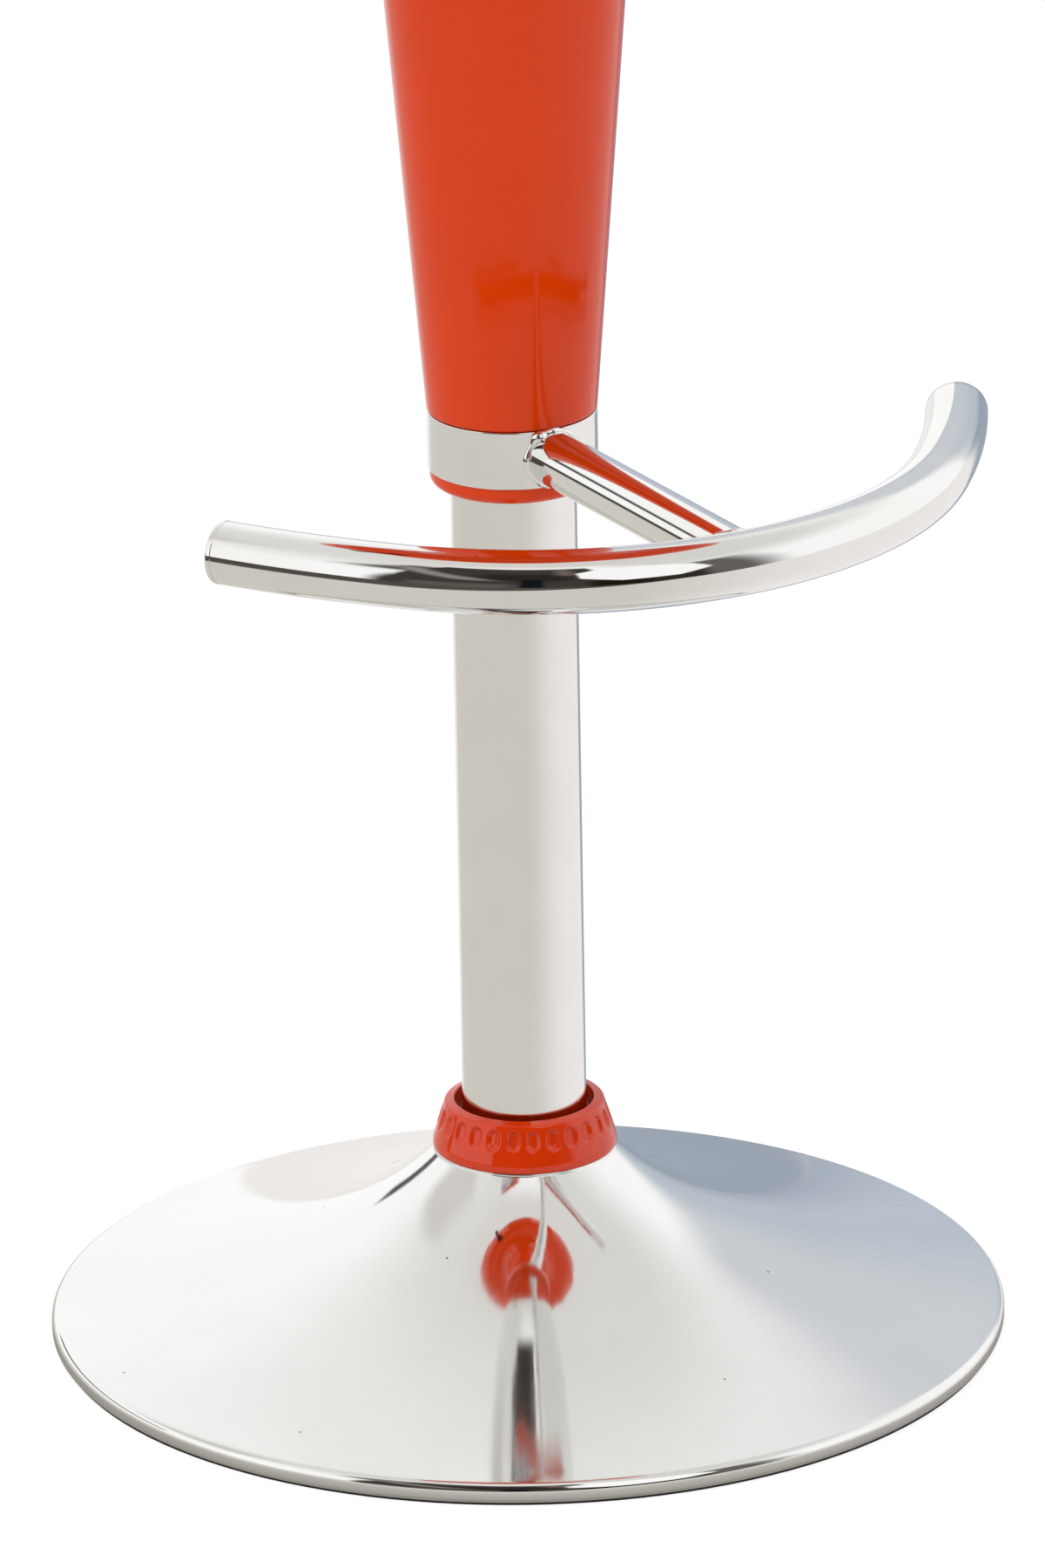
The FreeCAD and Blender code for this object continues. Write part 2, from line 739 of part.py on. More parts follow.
def make_trim_and_collar():
    """Orange guide bush on the column, and the chromed collar it carries under the cone."""
    flange = collar_radius - size("trim_inset")
    trim_bottom = size("collar_base") - size("trim_height")
    screw_radius = size("grub_diameter") / 2
    screw_start = sleeve_radius + size("column_wall")
    collar_fit = collar_bore - fixed
    cone_fit = collar_radius - size("shell_wall") - fixed
    sleeve_top = collar_top + size("sleeve_height")
    trim = Piece("trim_bush")
    trim.revolve([
        Corner(sleeve_radius, trim_bottom),
        Corner(flange, trim_bottom, radius=size("trim_bend")),
        Corner(flange, size("collar_base")),
        Corner(collar_fit, size("collar_base")),
        Corner(collar_fit, collar_top),
        Corner(cone_fit, collar_top),
        Corner(cone_fit, sleeve_top),
        Corner(sleeve_radius, sleeve_top),
    ])
    screw_hole(trim, screw_radius + fixed, screw_start, collar_radius)

    collar = tube("footrest_collar", collar_bore, collar_radius, size("collar_base"), collar_top)
    screw_hole(collar, screw_radius + fixed, screw_start, collar_radius + size("overrun"))

    screw = Piece("collar_screw")
    face = screw.sketch("XZ_Plane", -(collar_radius - size("grub_inset")))
    draw_circle(face, ZERO, collar_middle, screw_radius)
    screw.pad(face, collar_radius - size("grub_inset") - screw_start)
    key = screw.sketch("XZ_Plane", -(collar_radius - size("grub_inset")))
    draw_outline(key, hexagon_corners(ZERO, collar_middle, screw_radius / 2))
    screw.cut(key, screw_radius, Reversed=True)


def screw_hole(piece, radius, near, far):
    """A hole through the back of the collar or bush, square to the column."""
    circle = piece.sketch("XZ_Plane", -near)
    draw_circle(circle, ZERO, collar_middle, radius)
    piece.cut(circle, far - near)


def hexagon_corners(x, y, flat):
    """The corners of a hexagon about x, y whose flats lie that far out."""
    point = flat / math.sqrt(3)
    return [Corner(x + flat, y - point), Corner(x + flat, y + point), Corner(x, y + point * 2),
            Corner(x - flat, y + point), Corner(x - flat, y - point), Corner(x, y - point * 2)]


def wall_radius(height):
    """Outer radius of the tub's wall at that height."""
    return size("bowl_elbow_radius") + (height - elbow_height) * size("wall_spread_share")


def scoop(piece):
    """Cut the tub's rim low at the front and high at the back."""
    reach = wall_radius(back_rim) + size("overrun")
    bend = reach * size("rim_bend_share")
    side = piece.sketch("YZ_Plane")
    above = back_rim + size("overrun") * 2
    draw_outline(side, [
        Corner(-reach, front_rim),
        Corner(-reach * size("rim_front_share"), front_rim, setback=bend),
        Corner(reach * size("rim_back_share"), back_rim, setback=bend),
        Corner(reach, back_rim),
        Corner(reach, above),
        Corner(-reach, above),
    ])
    piece.cut(side, reach * 2, Midplane=True)


def raised(x, z):
    """Where a point of the lever comes to when the lever is lifted all the way."""
    across = x - pivot_x
    above = z - pivot_height
    turn = size("lever_angle")
    return (pivot_x + across * cosine(turn) + above * sine(turn),
            pivot_height - across * sine(turn) + above * cosine(turn))


def rim_edges(surface_radius):
    """A test for the edges that run round the rim on the wall surface of that radius."""
    def on_rim(edge):
        ends = [edge.valueAt(edge.FirstParameter), edge.valueAt(edge.LastParameter)]
        middle = edge.valueAt((edge.FirstParameter + edge.LastParameter) / 2)
        if middle.z < front_rim.value - running.value:
            return False
        turned = abs(math.atan2(ends[0].y, ends[0].x) - math.atan2(ends[1].y, ends[1].x))
        wanted = surface_radius(plain(middle.z)).value
        return turned > running.value and abs(math.hypot(middle.x, middle.y) - wanted) < running.value
    return on_rim


def make_seat():
    """Outer shell, which is cone and tub in one moulding, and the inner pan that is sat on."""
    wall = size("shell_wall")
    rim_top = back_rim + size("overrun")
    neck_x = collar_radius + (neck_top - collar_top) * size("cone_spread_share")
    elbow_x = size("bowl_elbow_radius")
    bend = hypotenuse(elbow_height - neck_top, elbow_x - neck_x) * size("shell_bend_share")
    inset = wall * size("elbow_inset_share")
    lift = wall * size("elbow_lift_share")
    shell = Piece("seat_shell")
    shell.revolve([
        Corner(collar_radius - wall, collar_top),
        Corner(collar_radius, collar_top, radius=size("cone_lip")),
        Corner(neck_x, neck_top, setback=bend),
        Corner(elbow_x, elbow_height, setback=bend),
        Corner(wall_radius(rim_top), rim_top),
        Corner(wall_radius(rim_top) - wall, rim_top),
        Corner(elbow_x - inset, elbow_height + lift, setback=bend),
        Corner(neck_x - inset, neck_top + lift, setback=bend),
    ])
    scoop(shell)
    half_slot = size("paddle_thickness") / 2 + size("slot_play")
    raised_bend_x, raised_bend_z = raised(bend_x, pivot_height)
    raised_tip_x, raised_tip_z = raised(tip_x, tip_z)
    slot = shell.sketch("XZ_Plane")
    draw_outline(slot, [
        Corner(bend_x, pivot_height - half_slot),
        Corner(tip_x, tip_z - half_slot),
        Corner(raised_tip_x, raised_tip_z + half_slot),
        Corner(raised_bend_x, raised_bend_z + half_slot),
    ])
    shell.cut(slot, size("paddle_width") + size("slot_play") * 2, Midplane=True)
    shell.soften(rim_edges(wall_radius), size("rim_edge"))

    def pan_radius(height):
        return wall_radius(height) - wall - size("fixed_clearance") * 2

    def pan_inner(height):
        return pan_radius(height) - size("pan_wall")

    corner_top = size("seat_height") + size("seat_dish")
    corner_bottom = corner_top - size("pan_floor")
    under_bend = size("pan_corner") + size("pan_wall") / 2
    pan = Piece("seat_pan")
    pan.revolve([
        Corner(ZERO, size("seat_height")),
        Corner(ZERO, size("seat_height") - size("pan_floor")),
        Corner(pan_radius(corner_bottom), corner_bottom, setback=under_bend),
        Corner(pan_radius(rim_top), rim_top),
        Corner(pan_inner(rim_top), rim_top),
        Corner(pan_inner(corner_top), corner_top, setback=size("pan_corner")),
    ])
    scoop(pan)
    pan.soften(rim_edges(pan_inner), size("rim_edge"))
    half = size("seat_screw_spacing") / 2
    bosses = pan.sketch("XY_Plane", mechanism_top)
    draw_circle(bosses, half, half, size("boss_diameter") / 2)
    boss = pan.pad(bosses, size("seat_height") - mechanism_top)
    pan.ring_of([boss], QUARTERS)
    drill = pan.sketch("XY_Plane", mechanism_top)
    draw_circle(drill, half, half, size("seat_screw_diameter") / 2 + fixed)
    pan.ring_of([pan.cut(drill, size("boss_screw_depth"), Reversed=True)], QUARTERS)


def make_mechanism():
    """Steel plate with the taper socket that the gas lift plugs into, and its fasteners."""
    half = size("seat_screw_spacing") / 2
    half_width = half + size("mechanism_margin")
    plate = Piece("mechanism_plate")
    outline = plate.sketch("XY_Plane", mechanism_bottom)
    corner = size("mechanism_corner")
    draw_outline(outline, [Corner(-half_width, -half_width, radius=corner),
                           Corner(half_width, -half_width, radius=corner),
                           Corner(half_width, half_width, radius=corner),
                           Corner(-half_width, half_width, radius=corner)])
    draw_circle(outline, ZERO, ZERO, cylinder_radius)
    plate.pad(outline, size("mechanism_thickness"))
    ear_inner = size("lever_lug_width") / 2 + size("seat_gap")
    ear_outer = ear_inner + size("ear_thickness")
    ear_half = size("ear_width") / 2
    ears = plate.sketch("XZ_Plane")
    ear_round = ear_half * size("ear_round_share")
    draw_outline(ears, [Corner(pivot_x - ear_half, mechanism_bottom),
                        Corner(pivot_x + ear_half, mechanism_bottom),
                        Corner(pivot_x + ear_half, pivot_height + ear_half, radius=ear_round),
                        Corner(pivot_x - ear_half, pivot_height + ear_half, radius=ear_round)])
    plate.pad(ears, ear_outer * 2, Midplane=True)
    between = plate.sketch("XZ_Plane")
    draw_outline(between, box_corners(pivot_x - size("ear_width"), pivot_x + size("ear_width"),
                                      mechanism_top, pivot_height + size("ear_width")))
    plate.cut(between, ear_inner * 2, Midplane=True)
    eye = plate.sketch("XZ_Plane")
    draw_circle(eye, pivot_x, pivot_height, size("pivot_pin_diameter") / 2 + fixed)
    plate.cut(eye, ear_outer * 2, Midplane=True)
    holes = plate.sketch("XY_Plane", mechanism_bottom)
    draw_circle(holes, half, half, size("seat_screw_diameter") / 2 + running)
    plate.ring_of([plate.cut(holes, size("mechanism_thickness"), Reversed=True)], QUARTERS)

    pin = Piece("lever_pin")
    pin_face = pin.sketch("XZ_Plane")
    draw_circle(pin_face, pivot_x, pivot_height, size("pivot_pin_diameter") / 2)
    pin.pad(pin_face, (ear_outer + size("pivot_pin_overhang")) * 2, Midplane=True)

    socket_bottom = taper_bottom + size("mechanism_thickness")
    socket = Piece("taper_socket")
    socket.revolve([
        Corner(taper_radius(socket_bottom) + fixed, socket_bottom),
        Corner(cylinder_radius + size("socket_wall"), socket_bottom),
        Corner(cylinder_radius + size("socket_wall"), mechanism_bottom),
        Corner(taper_radius(mechanism_bottom) + fixed, mechanism_bottom),
    ])

    washer_bottom = mechanism_bottom - size("washer_thickness")
    screw_radius = size("seat_screw_diameter") / 2
    washers = Piece("seat_washers")
    washer_face = washers.sketch("XY_Plane", washer_bottom)
    draw_circle(washer_face, half, half, size("washer_diameter") / 2)
    draw_circle(washer_face, half, half, screw_radius + running)
    washers.ring_of([washers.pad(washer_face, size("washer_thickness"))], QUARTERS)

    screws = Piece("seat_screws")
    head_bottom = washer_bottom - size("seat_screw_head_height")
    head = screws.sketch("XY_Plane", head_bottom)
    draw_circle(head, half, half, size("seat_screw_head") / 2)
    head_pad = screws.pad(head, size("seat_screw_head_height"))
    shank = screws.sketch("XY_Plane", washer_bottom)
    draw_circle(shank, half, half, screw_radius)
    shank_top = mechanism_top + size("boss_screw_depth") - size("push_gap")
    shank_pad = screws.pad(shank, shank_top - washer_bottom)
    screws.ring_of([head_pad, shank_pad], QUARTERS)

    release = Piece("release_pin")
    pin_radius = size("pin_diameter") / 2
    pin_top = pivot_height - lever_radius - size("push_gap")
    release.revolve([
        Corner(ZERO, pin_top - size("pin_length")),
        Corner(pin_radius, pin_top - size("pin_length")),
        Corner(pin_radius, pin_top - size("pin_chamfer")),
        Corner(pin_radius - size("pin_chamfer"), pin_top),
        Corner(ZERO, pin_top),
    ])


def swept_tube(label, path_sketch_of, radius, bore=None):
    """A round rod or tube swept along a path, from the path's first end."""
    piece = Piece(label)
    path, start = path_sketch_of(piece)
    doc.recompute()
    end = path.Placement.multVec(start)
    name, parameter = None, 0.0
    for i, edge in enumerate(path.Shape.Edges):
        for near, at in ((edge.FirstParameter, 0.0), (edge.LastParameter, 1.0)):
            if edge.valueAt(near).distanceToPoint(end) < running.value:
                name, parameter = "Edge%d" % (i + 1), at
    section = piece.body.newObject("Sketcher::SketchObject", "Section")
    section.AttachmentSupport = [(path, name)]
    section.MapMode = "NormalToEdge"
    section.MapPathParameter = parameter
    draw_circle(section, ZERO, ZERO, radius)
    if bore is not None:
        draw_circle(section, ZERO, ZERO, bore)
    pipe = piece.add("AdditivePipe", section)
    pipe.Spine = path
    path.Visibility = False
    return piece


def make_lever():
    """Height lever, which pivots over the release pin, and its grip."""

    def path(piece):
        sketch = piece.sketch("XZ_Plane")
        corners = [Corner(size("lever_tail"), pivot_height),
                   Corner(bend_x, pivot_height, radius=size("lever_bend_radius")),
                   Corner(tip_x, tip_z)]
        draw_outline(sketch, corners, closed=False)
        return sketch, corners[0].point

    rod = swept_tube("lever_rod", path, lever_radius)
    lug = rod.sketch("XZ_Plane")
    draw_circle(lug, pivot_x, pivot_height, size("lever_lug_diameter") / 2)
    rod.pad(lug, size("lever_lug_width"), Midplane=True)
    eye = rod.sketch("XZ_Plane")
    draw_circle(eye, pivot_x, pivot_height, size("pivot_pin_diameter") / 2 + running)
    rod.cut(eye, size("lever_lug_width") * 2, Midplane=True)

    paddle = Piece("lever_paddle")
    half = size("paddle_width") / 2
    outline = paddle.sketch("XY_Plane")
    near = size("paddle_grip")
    far = size("paddle_length") - near
    neck = half * size("paddle_neck_share")
    near_round = half * size("paddle_near_round_share")
    far_round = half * size("paddle_far_round_share")
    draw_outline(outline, [Corner(-near, -neck, radius=near_round), Corner(far, -half, radius=far_round),
                           Corner(far, half, radius=far_round), Corner(-near, neck, radius=near_round)])
    paddle.pad(outline, size("paddle_thickness"), Midplane=True)
    paddle.soften(lambda edge: edge.BoundBox.ZLength < running.value, size("paddle_edge"))
    bore = paddle.sketch("YZ_Plane")
    draw_circle(bore, ZERO, ZERO, lever_radius + fixed)
    paddle.cut(bore, near + size("overrun"))
    fall = slope_angle(size("lever_drop"), bend_x - tip_x)
    put(paddle.body, tip_x, ZERO, tip_z, HALF_TURN, fall)


def make_footrest():
    """Bent bar, strut and end caps."""
    bend_angle = size("bar_bend_angle")
    whole_angle = bend_angle + size("bar_end_angle")
    radius = size("bar_bend_radius")
    end_radius = size("bar_end_radius")
    joint_x = radius * sine(bend_angle)
    joint_y = -bar_centre - radius * cosine(bend_angle)
    end_x = joint_x + end_radius * (sine(whole_angle) - sine(bend_angle))
    end_y = joint_y + end_radius * (cosine(bend_angle) - cosine(whole_angle))

    def path(piece):
        sketch = piece.sketch("XY_Plane", collar_middle)
        middle = Vector(0, -bar_centre.value, 0)
        turn = math.radians(bend_angle.value)
        further = math.radians(whole_angle.value)
        down = -math.pi / 2
        up = Vector(0, 0, 1)
        circle = Part.Circle(middle, up, radius.value)
        bend = sketch.addGeometry(Part.ArcOfCircle(circle, down - turn, down + turn))
        place(sketch, bend, 3, ZERO, -bar_centre)
        place(sketch, bend, 2, joint_x, joint_y)
        sketch.addConstraint(Sketcher.Constraint("Symmetric", bend, 1, bend, 2, -2))
        for side in (1, -1):
            joint = Vector(side * joint_x.value, joint_y.value, 0)
            centre = joint + (middle - joint).normalize() * end_radius.value
            circle = Part.Circle(centre, up, end_radius.value)
            if side == 1:
                arc = sketch.addGeometry(Part.ArcOfCircle(circle, down + turn, down + further))
            else:
                arc = sketch.addGeometry(Part.ArcOfCircle(circle, down - further, down - turn))
            near, far = (1, 2) if side == 1 else (2, 1)
            sketch.addConstraint(Sketcher.Constraint("Tangent", bend, 2 if side == 1 else 1, arc, near))
            bind(sketch, Sketcher.Constraint("Radius", arc, end_radius.value), end_radius)
            ends = (-1, 1, arc, far) if side == 1 else (arc, far, -1, 1)
            bind(sketch, Sketcher.Constraint("DistanceX", *ends, end_x.value), end_x)
        return sketch, Vector(-end_x.value, end_y.value, 0)

    bore = bar_radius - size("bar_wall")
    swept_tube("footrest_bar", path, bar_radius, bore)

    strut = Piece("footrest_strut")
    face = strut.sketch("XZ_Plane")
    draw_circle(face, ZERO, collar_middle, strut_radius)
    draw_circle(face, ZERO, collar_middle, strut_radius - size("strut_wall"))
    strut.pad(face, size("bar_reach"))
    column_side = strut.sketch("XY_Plane")
    draw_circle(column_side, ZERO, ZERO, collar_radius)
    strut.cut(column_side, collar_top * 2, Reversed=True)
    bar_side = strut.sketch("YZ_Plane")
    draw_circle(bar_side, -size("bar_reach"), collar_middle, bar_radius)
    axis = bar_side.addGeometry(Part.LineSegment(Vector(-bar_centre.value, 0, 0),
                                                 Vector(-bar_centre.value, collar_middle.value, 0)), True)
    place(bar_side, axis, 1, -bar_centre, ZERO)
    place(bar_side, axis, 2, -bar_centre, collar_middle)
    strut.add("Groove", bar_side, ReferenceAxis=(bar_side, ["Axis0"]), Angle=FULL_TURN)

    for label, x, yaw in (("end_cap_right", end_x, whole_angle),
                          ("end_cap_left", -end_x, HALF_TURN - whole_angle)):
        cap = Piece(label)
        cap.revolve([
            Corner(ZERO, -size("cap_plug")),
            Corner(bore - fixed, -size("cap_plug")),
            Corner(bore - fixed, ZERO),
            Corner(bar_radius, ZERO),
            Corner(bar_radius, size("cap_thickness"), radius=size("cap_edge")),
            Corner(ZERO, size("cap_thickness")),
        ])
        put(cap.body, x, end_y, collar_middle, yaw, RIGHT_ANGLE)


for make in (make_base, make_column, make_ring, make_bearing, make_gas_lift, make_trim_and_collar,
             make_seat, make_mechanism, make_lever, make_footrest):
    make()
doc.recompute()

failed = [item.Name + " " + item.Label for item in doc.Objects
          if "Invalid" in item.State or "Error" in item.State]
if failed:
    raise RuntimeError("features that failed: " + ", ".join(failed))

bodies = [item for item in doc.Objects if item.TypeId == "PartDesign::Body"]
for body in bodies:
    if body.Shape.isNull() or not body.Shape.isValid() or not body.Shape.Solids:
        raise RuntimeError(body.Label + " has no valid solid")

os.makedirs("parts", exist_ok=True)
for body in bodies:
    body.Shape.exportStep("parts/%s.step" % body.Label)
print(len(bodies), "pieces")
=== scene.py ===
"""Swivel bar stool: chromed trumpet base and column, orange cone and tub, and a bent footrest.

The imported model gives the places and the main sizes. What shows is rebuilt here as smooth turned,
bent and pressed meshes, and every piece gets the finish of its real material. Meshes are built in
millimetres and turned to metres when they become pieces, and the studio and the camera are placed in
metres. Angles that the classes hold as sizes are in degrees.
"""

import json
import logging
import math
from dataclasses import dataclass, field
from enum import Enum
from functools import lru_cache
from typing import Callable, Iterable, Sequence

import bmesh
import bpy
from bmesh.types import BMEdge, BMesh, BMFace, BMVert
from bpy.types import Node, NodeSocket, NodeTree
from mathutils import Matrix, Vector
from mathutils.geometry import interpolate_bezier


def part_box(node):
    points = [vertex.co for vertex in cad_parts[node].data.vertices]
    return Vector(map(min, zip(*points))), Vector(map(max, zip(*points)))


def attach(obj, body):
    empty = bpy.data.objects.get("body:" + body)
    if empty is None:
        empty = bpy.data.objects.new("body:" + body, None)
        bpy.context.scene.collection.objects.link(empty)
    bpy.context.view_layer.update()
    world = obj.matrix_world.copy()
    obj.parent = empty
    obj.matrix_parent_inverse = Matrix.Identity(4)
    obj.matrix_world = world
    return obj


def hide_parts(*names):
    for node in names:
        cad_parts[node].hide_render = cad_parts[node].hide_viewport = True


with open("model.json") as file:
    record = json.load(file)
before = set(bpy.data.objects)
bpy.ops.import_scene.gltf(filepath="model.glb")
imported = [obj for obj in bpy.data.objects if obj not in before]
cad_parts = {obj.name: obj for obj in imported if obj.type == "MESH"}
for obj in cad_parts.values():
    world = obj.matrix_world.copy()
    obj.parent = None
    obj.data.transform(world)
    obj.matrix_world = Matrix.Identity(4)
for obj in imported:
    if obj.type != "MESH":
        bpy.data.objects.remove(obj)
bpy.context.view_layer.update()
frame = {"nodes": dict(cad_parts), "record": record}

log = logging.getLogger("bar_stool")

MILLIMETRES_PER_METRE = 1000.0
MERGE_DISTANCE = 1e-4
FULL_TURN = 2 * math.pi
QUARTER_TURN = math.pi / 2
SHARP_ANGLE = math.radians(32)
UP = Vector((0.0, 0.0, 1.0))
ALONG_FOOTREST = Vector((0.0, 1.0, 0.0))
WHITE = "FFFFFF"

# How many faces a rounded corner gets, from a broken edge to a full bend
EDGE_SEGMENTS = 3
CORNER_SEGMENTS = 6
LIP_SEGMENTS = 8
BEND_SEGMENTS = 14

# The noise of uneven surfaces, and the span of its levels over which gloss and tint change
MOTTLE_DETAIL = 4.0
MOTTLE_ROUGHNESS = 0.6
GRAIN_DETAIL = 2.0
GLOSS_LEVELS = (0.35, 0.65)
TINT_LEVELS = (0.3, 0.7)

# What an input of a shader node can hold: another node's socket, a number, a vector or a colour
InputValue = NodeSocket | float | Vector | tuple[float, ...]


class Body(Enum):
    """The moving bodies that pieces ride on."""

    BASE = "base"
    SEAT = "seat"


class Slot(Enum):
    """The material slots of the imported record."""

    CHROMED_STEEL = "chromed_steel"
    ORANGE_ABS = "orange_abs"
    ZINC_PLATED_STEEL = "zinc_plated_steel"
    GROUND_STEEL = "ground_steel"
    BLACK_STEEL = "black_steel"
    CAST_IRON = "cast_iron"
    BLACK_RUBBER = "black_rubber"
    WHITE_ACETAL = "white_acetal"
    BLACK_ABS = "black_abs"


def linear(code: str) -> tuple[float, float, float, float]:
    """Turn a colour written as sRGB hex into linear light, by the standard's own formula.

    Args:
        code: Six hex digits.

    Returns:
        Red, green, blue and alpha.
    """
    parts = [int(code[i:i + 2], 16) / 255 for i in (0, 2, 4)]
    light = [part / 12.92 if part <= 0.04045 else ((part + 0.055) / 1.055) ** 2.4 for part in parts]
    return (light[0], light[1], light[2], 1.0)


def per_metre(spacing: float) -> float:
    """How many times a pattern with that spacing in millimetres repeats in a metre."""
    return MILLIMETRES_PER_METRE / spacing


def direction(side: float, height: float) -> Vector:
    """Which way something lies from the stool.

    Args:
        side: Its azimuth from the front, in degrees.
        height: Its elevation in degrees.

    Returns:
        The unit vector towards it.
    """
    turn = math.radians(side)
    lift = math.radians(height)
    return Vector((math.sin(turn) * math.cos(lift), -math.cos(turn) * math.cos(lift), math.sin(lift)))


def add_object(name: str, data: bpy.types.ID) -> bpy.types.Object:
    """Put a mesh, lamp or camera into the scene.

    Args:
        name: The object's name.
        data: What it shows.

    Returns:
        The object.
    """
    item = bpy.data.objects.new(name, data)
    bpy.context.scene.collection.objects.link(item)
    return item


def add_node(tree: NodeTree, kind: str, inputs: dict[str | int, InputValue] | None = None,
             **settings: str) -> Node:
    """Add a shader node with its settings and links.

    Args:
        tree: The node tree that gets it.
        kind: Blender's name for the kind of node.
        inputs: What each input holds, by the input's name or number.
        settings: The node's own settings.

    Returns:
        The node.
    """
    node = tree.nodes.new(kind)
    for name, setting in settings.items():
        setattr(node, name, setting)
    for name, held in (inputs or {}).items():
        if isinstance(held, NodeSocket):
            tree.links.new(held, node.inputs[name])
        else:
            node.inputs[name].default_value = held
    return node


def work_out(tree: NodeTree, operation: str, *parts: NodeSocket | float) -> NodeSocket:
    """Apply a math operation to one value, or pair by pair to several.

    Args:
        tree: The node tree.
        operation: Blender's name for the operation.
        parts: The values.

    Returns:
        The result's socket.
    """
    total = add_node(tree, "ShaderNodeMath", dict(enumerate(parts[:2])), operation=operation)
    for part in parts[2:]:
        total = add_node(tree, "ShaderNodeMath", {0: total.outputs["Value"], 1: part}, operation=operation)
    return total.outputs["Value"]


def soft_step(tree: NodeTree, at: NodeSocket, edge: float, soft: float) -> NodeSocket:
    """A soft step from 0 to 1 as a value passes an edge, or from 1 to 0 where soft is negative.

    Args:
        tree: The node tree.
        at: The value.
        edge: The middle of the step.
        soft: How wide the step is.

    Returns:
        The step's socket.
    """
    return add_node(tree, "ShaderNodeMapRange", {
        "Value": at, "From Min": edge - soft / 2, "From Max": edge + soft / 2},
        interpolation_type="SMOOTHSTEP").outputs["Result"]


def blend(tree: NodeTree, share: NodeSocket, under: NodeSocket | str, over: NodeSocket | str) -> NodeSocket:
    """Lay a colour over another.

    Args:
        tree: The node tree.
        share: How much of the upper colour shows, from 0 to 1.
        under: The lower colour, as a socket or as sRGB hex.
        over: The upper colour, likewise.

    Returns:
        The blended colour's socket.
    """
    mix = add_node(tree, "ShaderNodeMix", {"Factor": share}, data_type="RGBA")
    for name, colour in (("A", under), ("B", over)):
        socket = next(entry for entry in mix.inputs if entry.name == name and entry.type == "RGBA")
        if isinstance(colour, NodeSocket):
            tree.links.new(colour, socket)
        else:
            socket.default_value = linear(colour)
    return next(entry for entry in mix.outputs if entry.type == "RGBA")


@dataclass(frozen=True)
class Finish:
    """A real material and how its surface was made, with sizes in millimetres."""

    name: str
    slot: Slot
    colour: str
    worn_colour: str
    roughness: tuple[float, float]
    patch_size: float
    grain_size: float
    grain_height: float
    metallic: float = 0.0
    ior: float = 1.5
    specular: float = 0.5

    def dress(self, tree: NodeTree, shader: Node) -> None:
        """Give the shader uneven colour and gloss in patches, and a fine grain.

        Args:
            tree: The material's node tree.
            shader: Its Principled BSDF.
        """
        place = add_node(tree, "ShaderNodeTexCoord").outputs["Object"]
        patches = add_node(tree, "ShaderNodeTexNoise", {
            "Vector": place, "Scale": per_metre(self.patch_size), "Detail": MOTTLE_DETAIL,
            "Roughness": MOTTLE_ROUGHNESS}).outputs["Fac"]
        gloss = add_node(tree, "ShaderNodeMapRange", {
            "Value": patches, "From Min": GLOSS_LEVELS[0], "From Max": GLOSS_LEVELS[1],
            "To Min": self.roughness[0], "To Max": self.roughness[1]})
        tree.links.new(gloss.outputs["Result"], shader.inputs["Roughness"])
        tint = add_node(tree, "ShaderNodeMapRange", {
            "Value": patches, "From Min": TINT_LEVELS[0], "From Max": TINT_LEVELS[1]})
        colour = blend(tree, tint.outputs["Result"], self.colour, self.worn_colour)
        tree.links.new(colour, shader.inputs["Base Color"])
        grain = add_node(tree, "ShaderNodeTexNoise", {
            "Vector": place, "Scale": per_metre(self.grain_size), "Detail": GRAIN_DETAIL})
        self.bump(tree, shader, grain.outputs["Fac"], self.grain_height)

    @staticmethod
    def bump(tree: NodeTree, shader: Node, height: NodeSocket, depth: float) -> None:
        """Add relief to the shader, over any relief that it has.

        Args:
            tree: The material's node tree.
            shader: Its Principled BSDF.
            height: The relief, from 0 to 1.
            depth: How deep the relief is, in millimetres.
        """
        inputs = {"Height": height, "Strength": 1.0, "Distance": depth / MILLIMETRES_PER_METRE}
        normal = shader.inputs["Normal"]
        if normal.links:
            inputs["Normal"] = normal.links[0].from_socket
        relief = add_node(tree, "ShaderNodeBump", inputs)
        tree.links.new(relief.outputs["Normal"], normal)


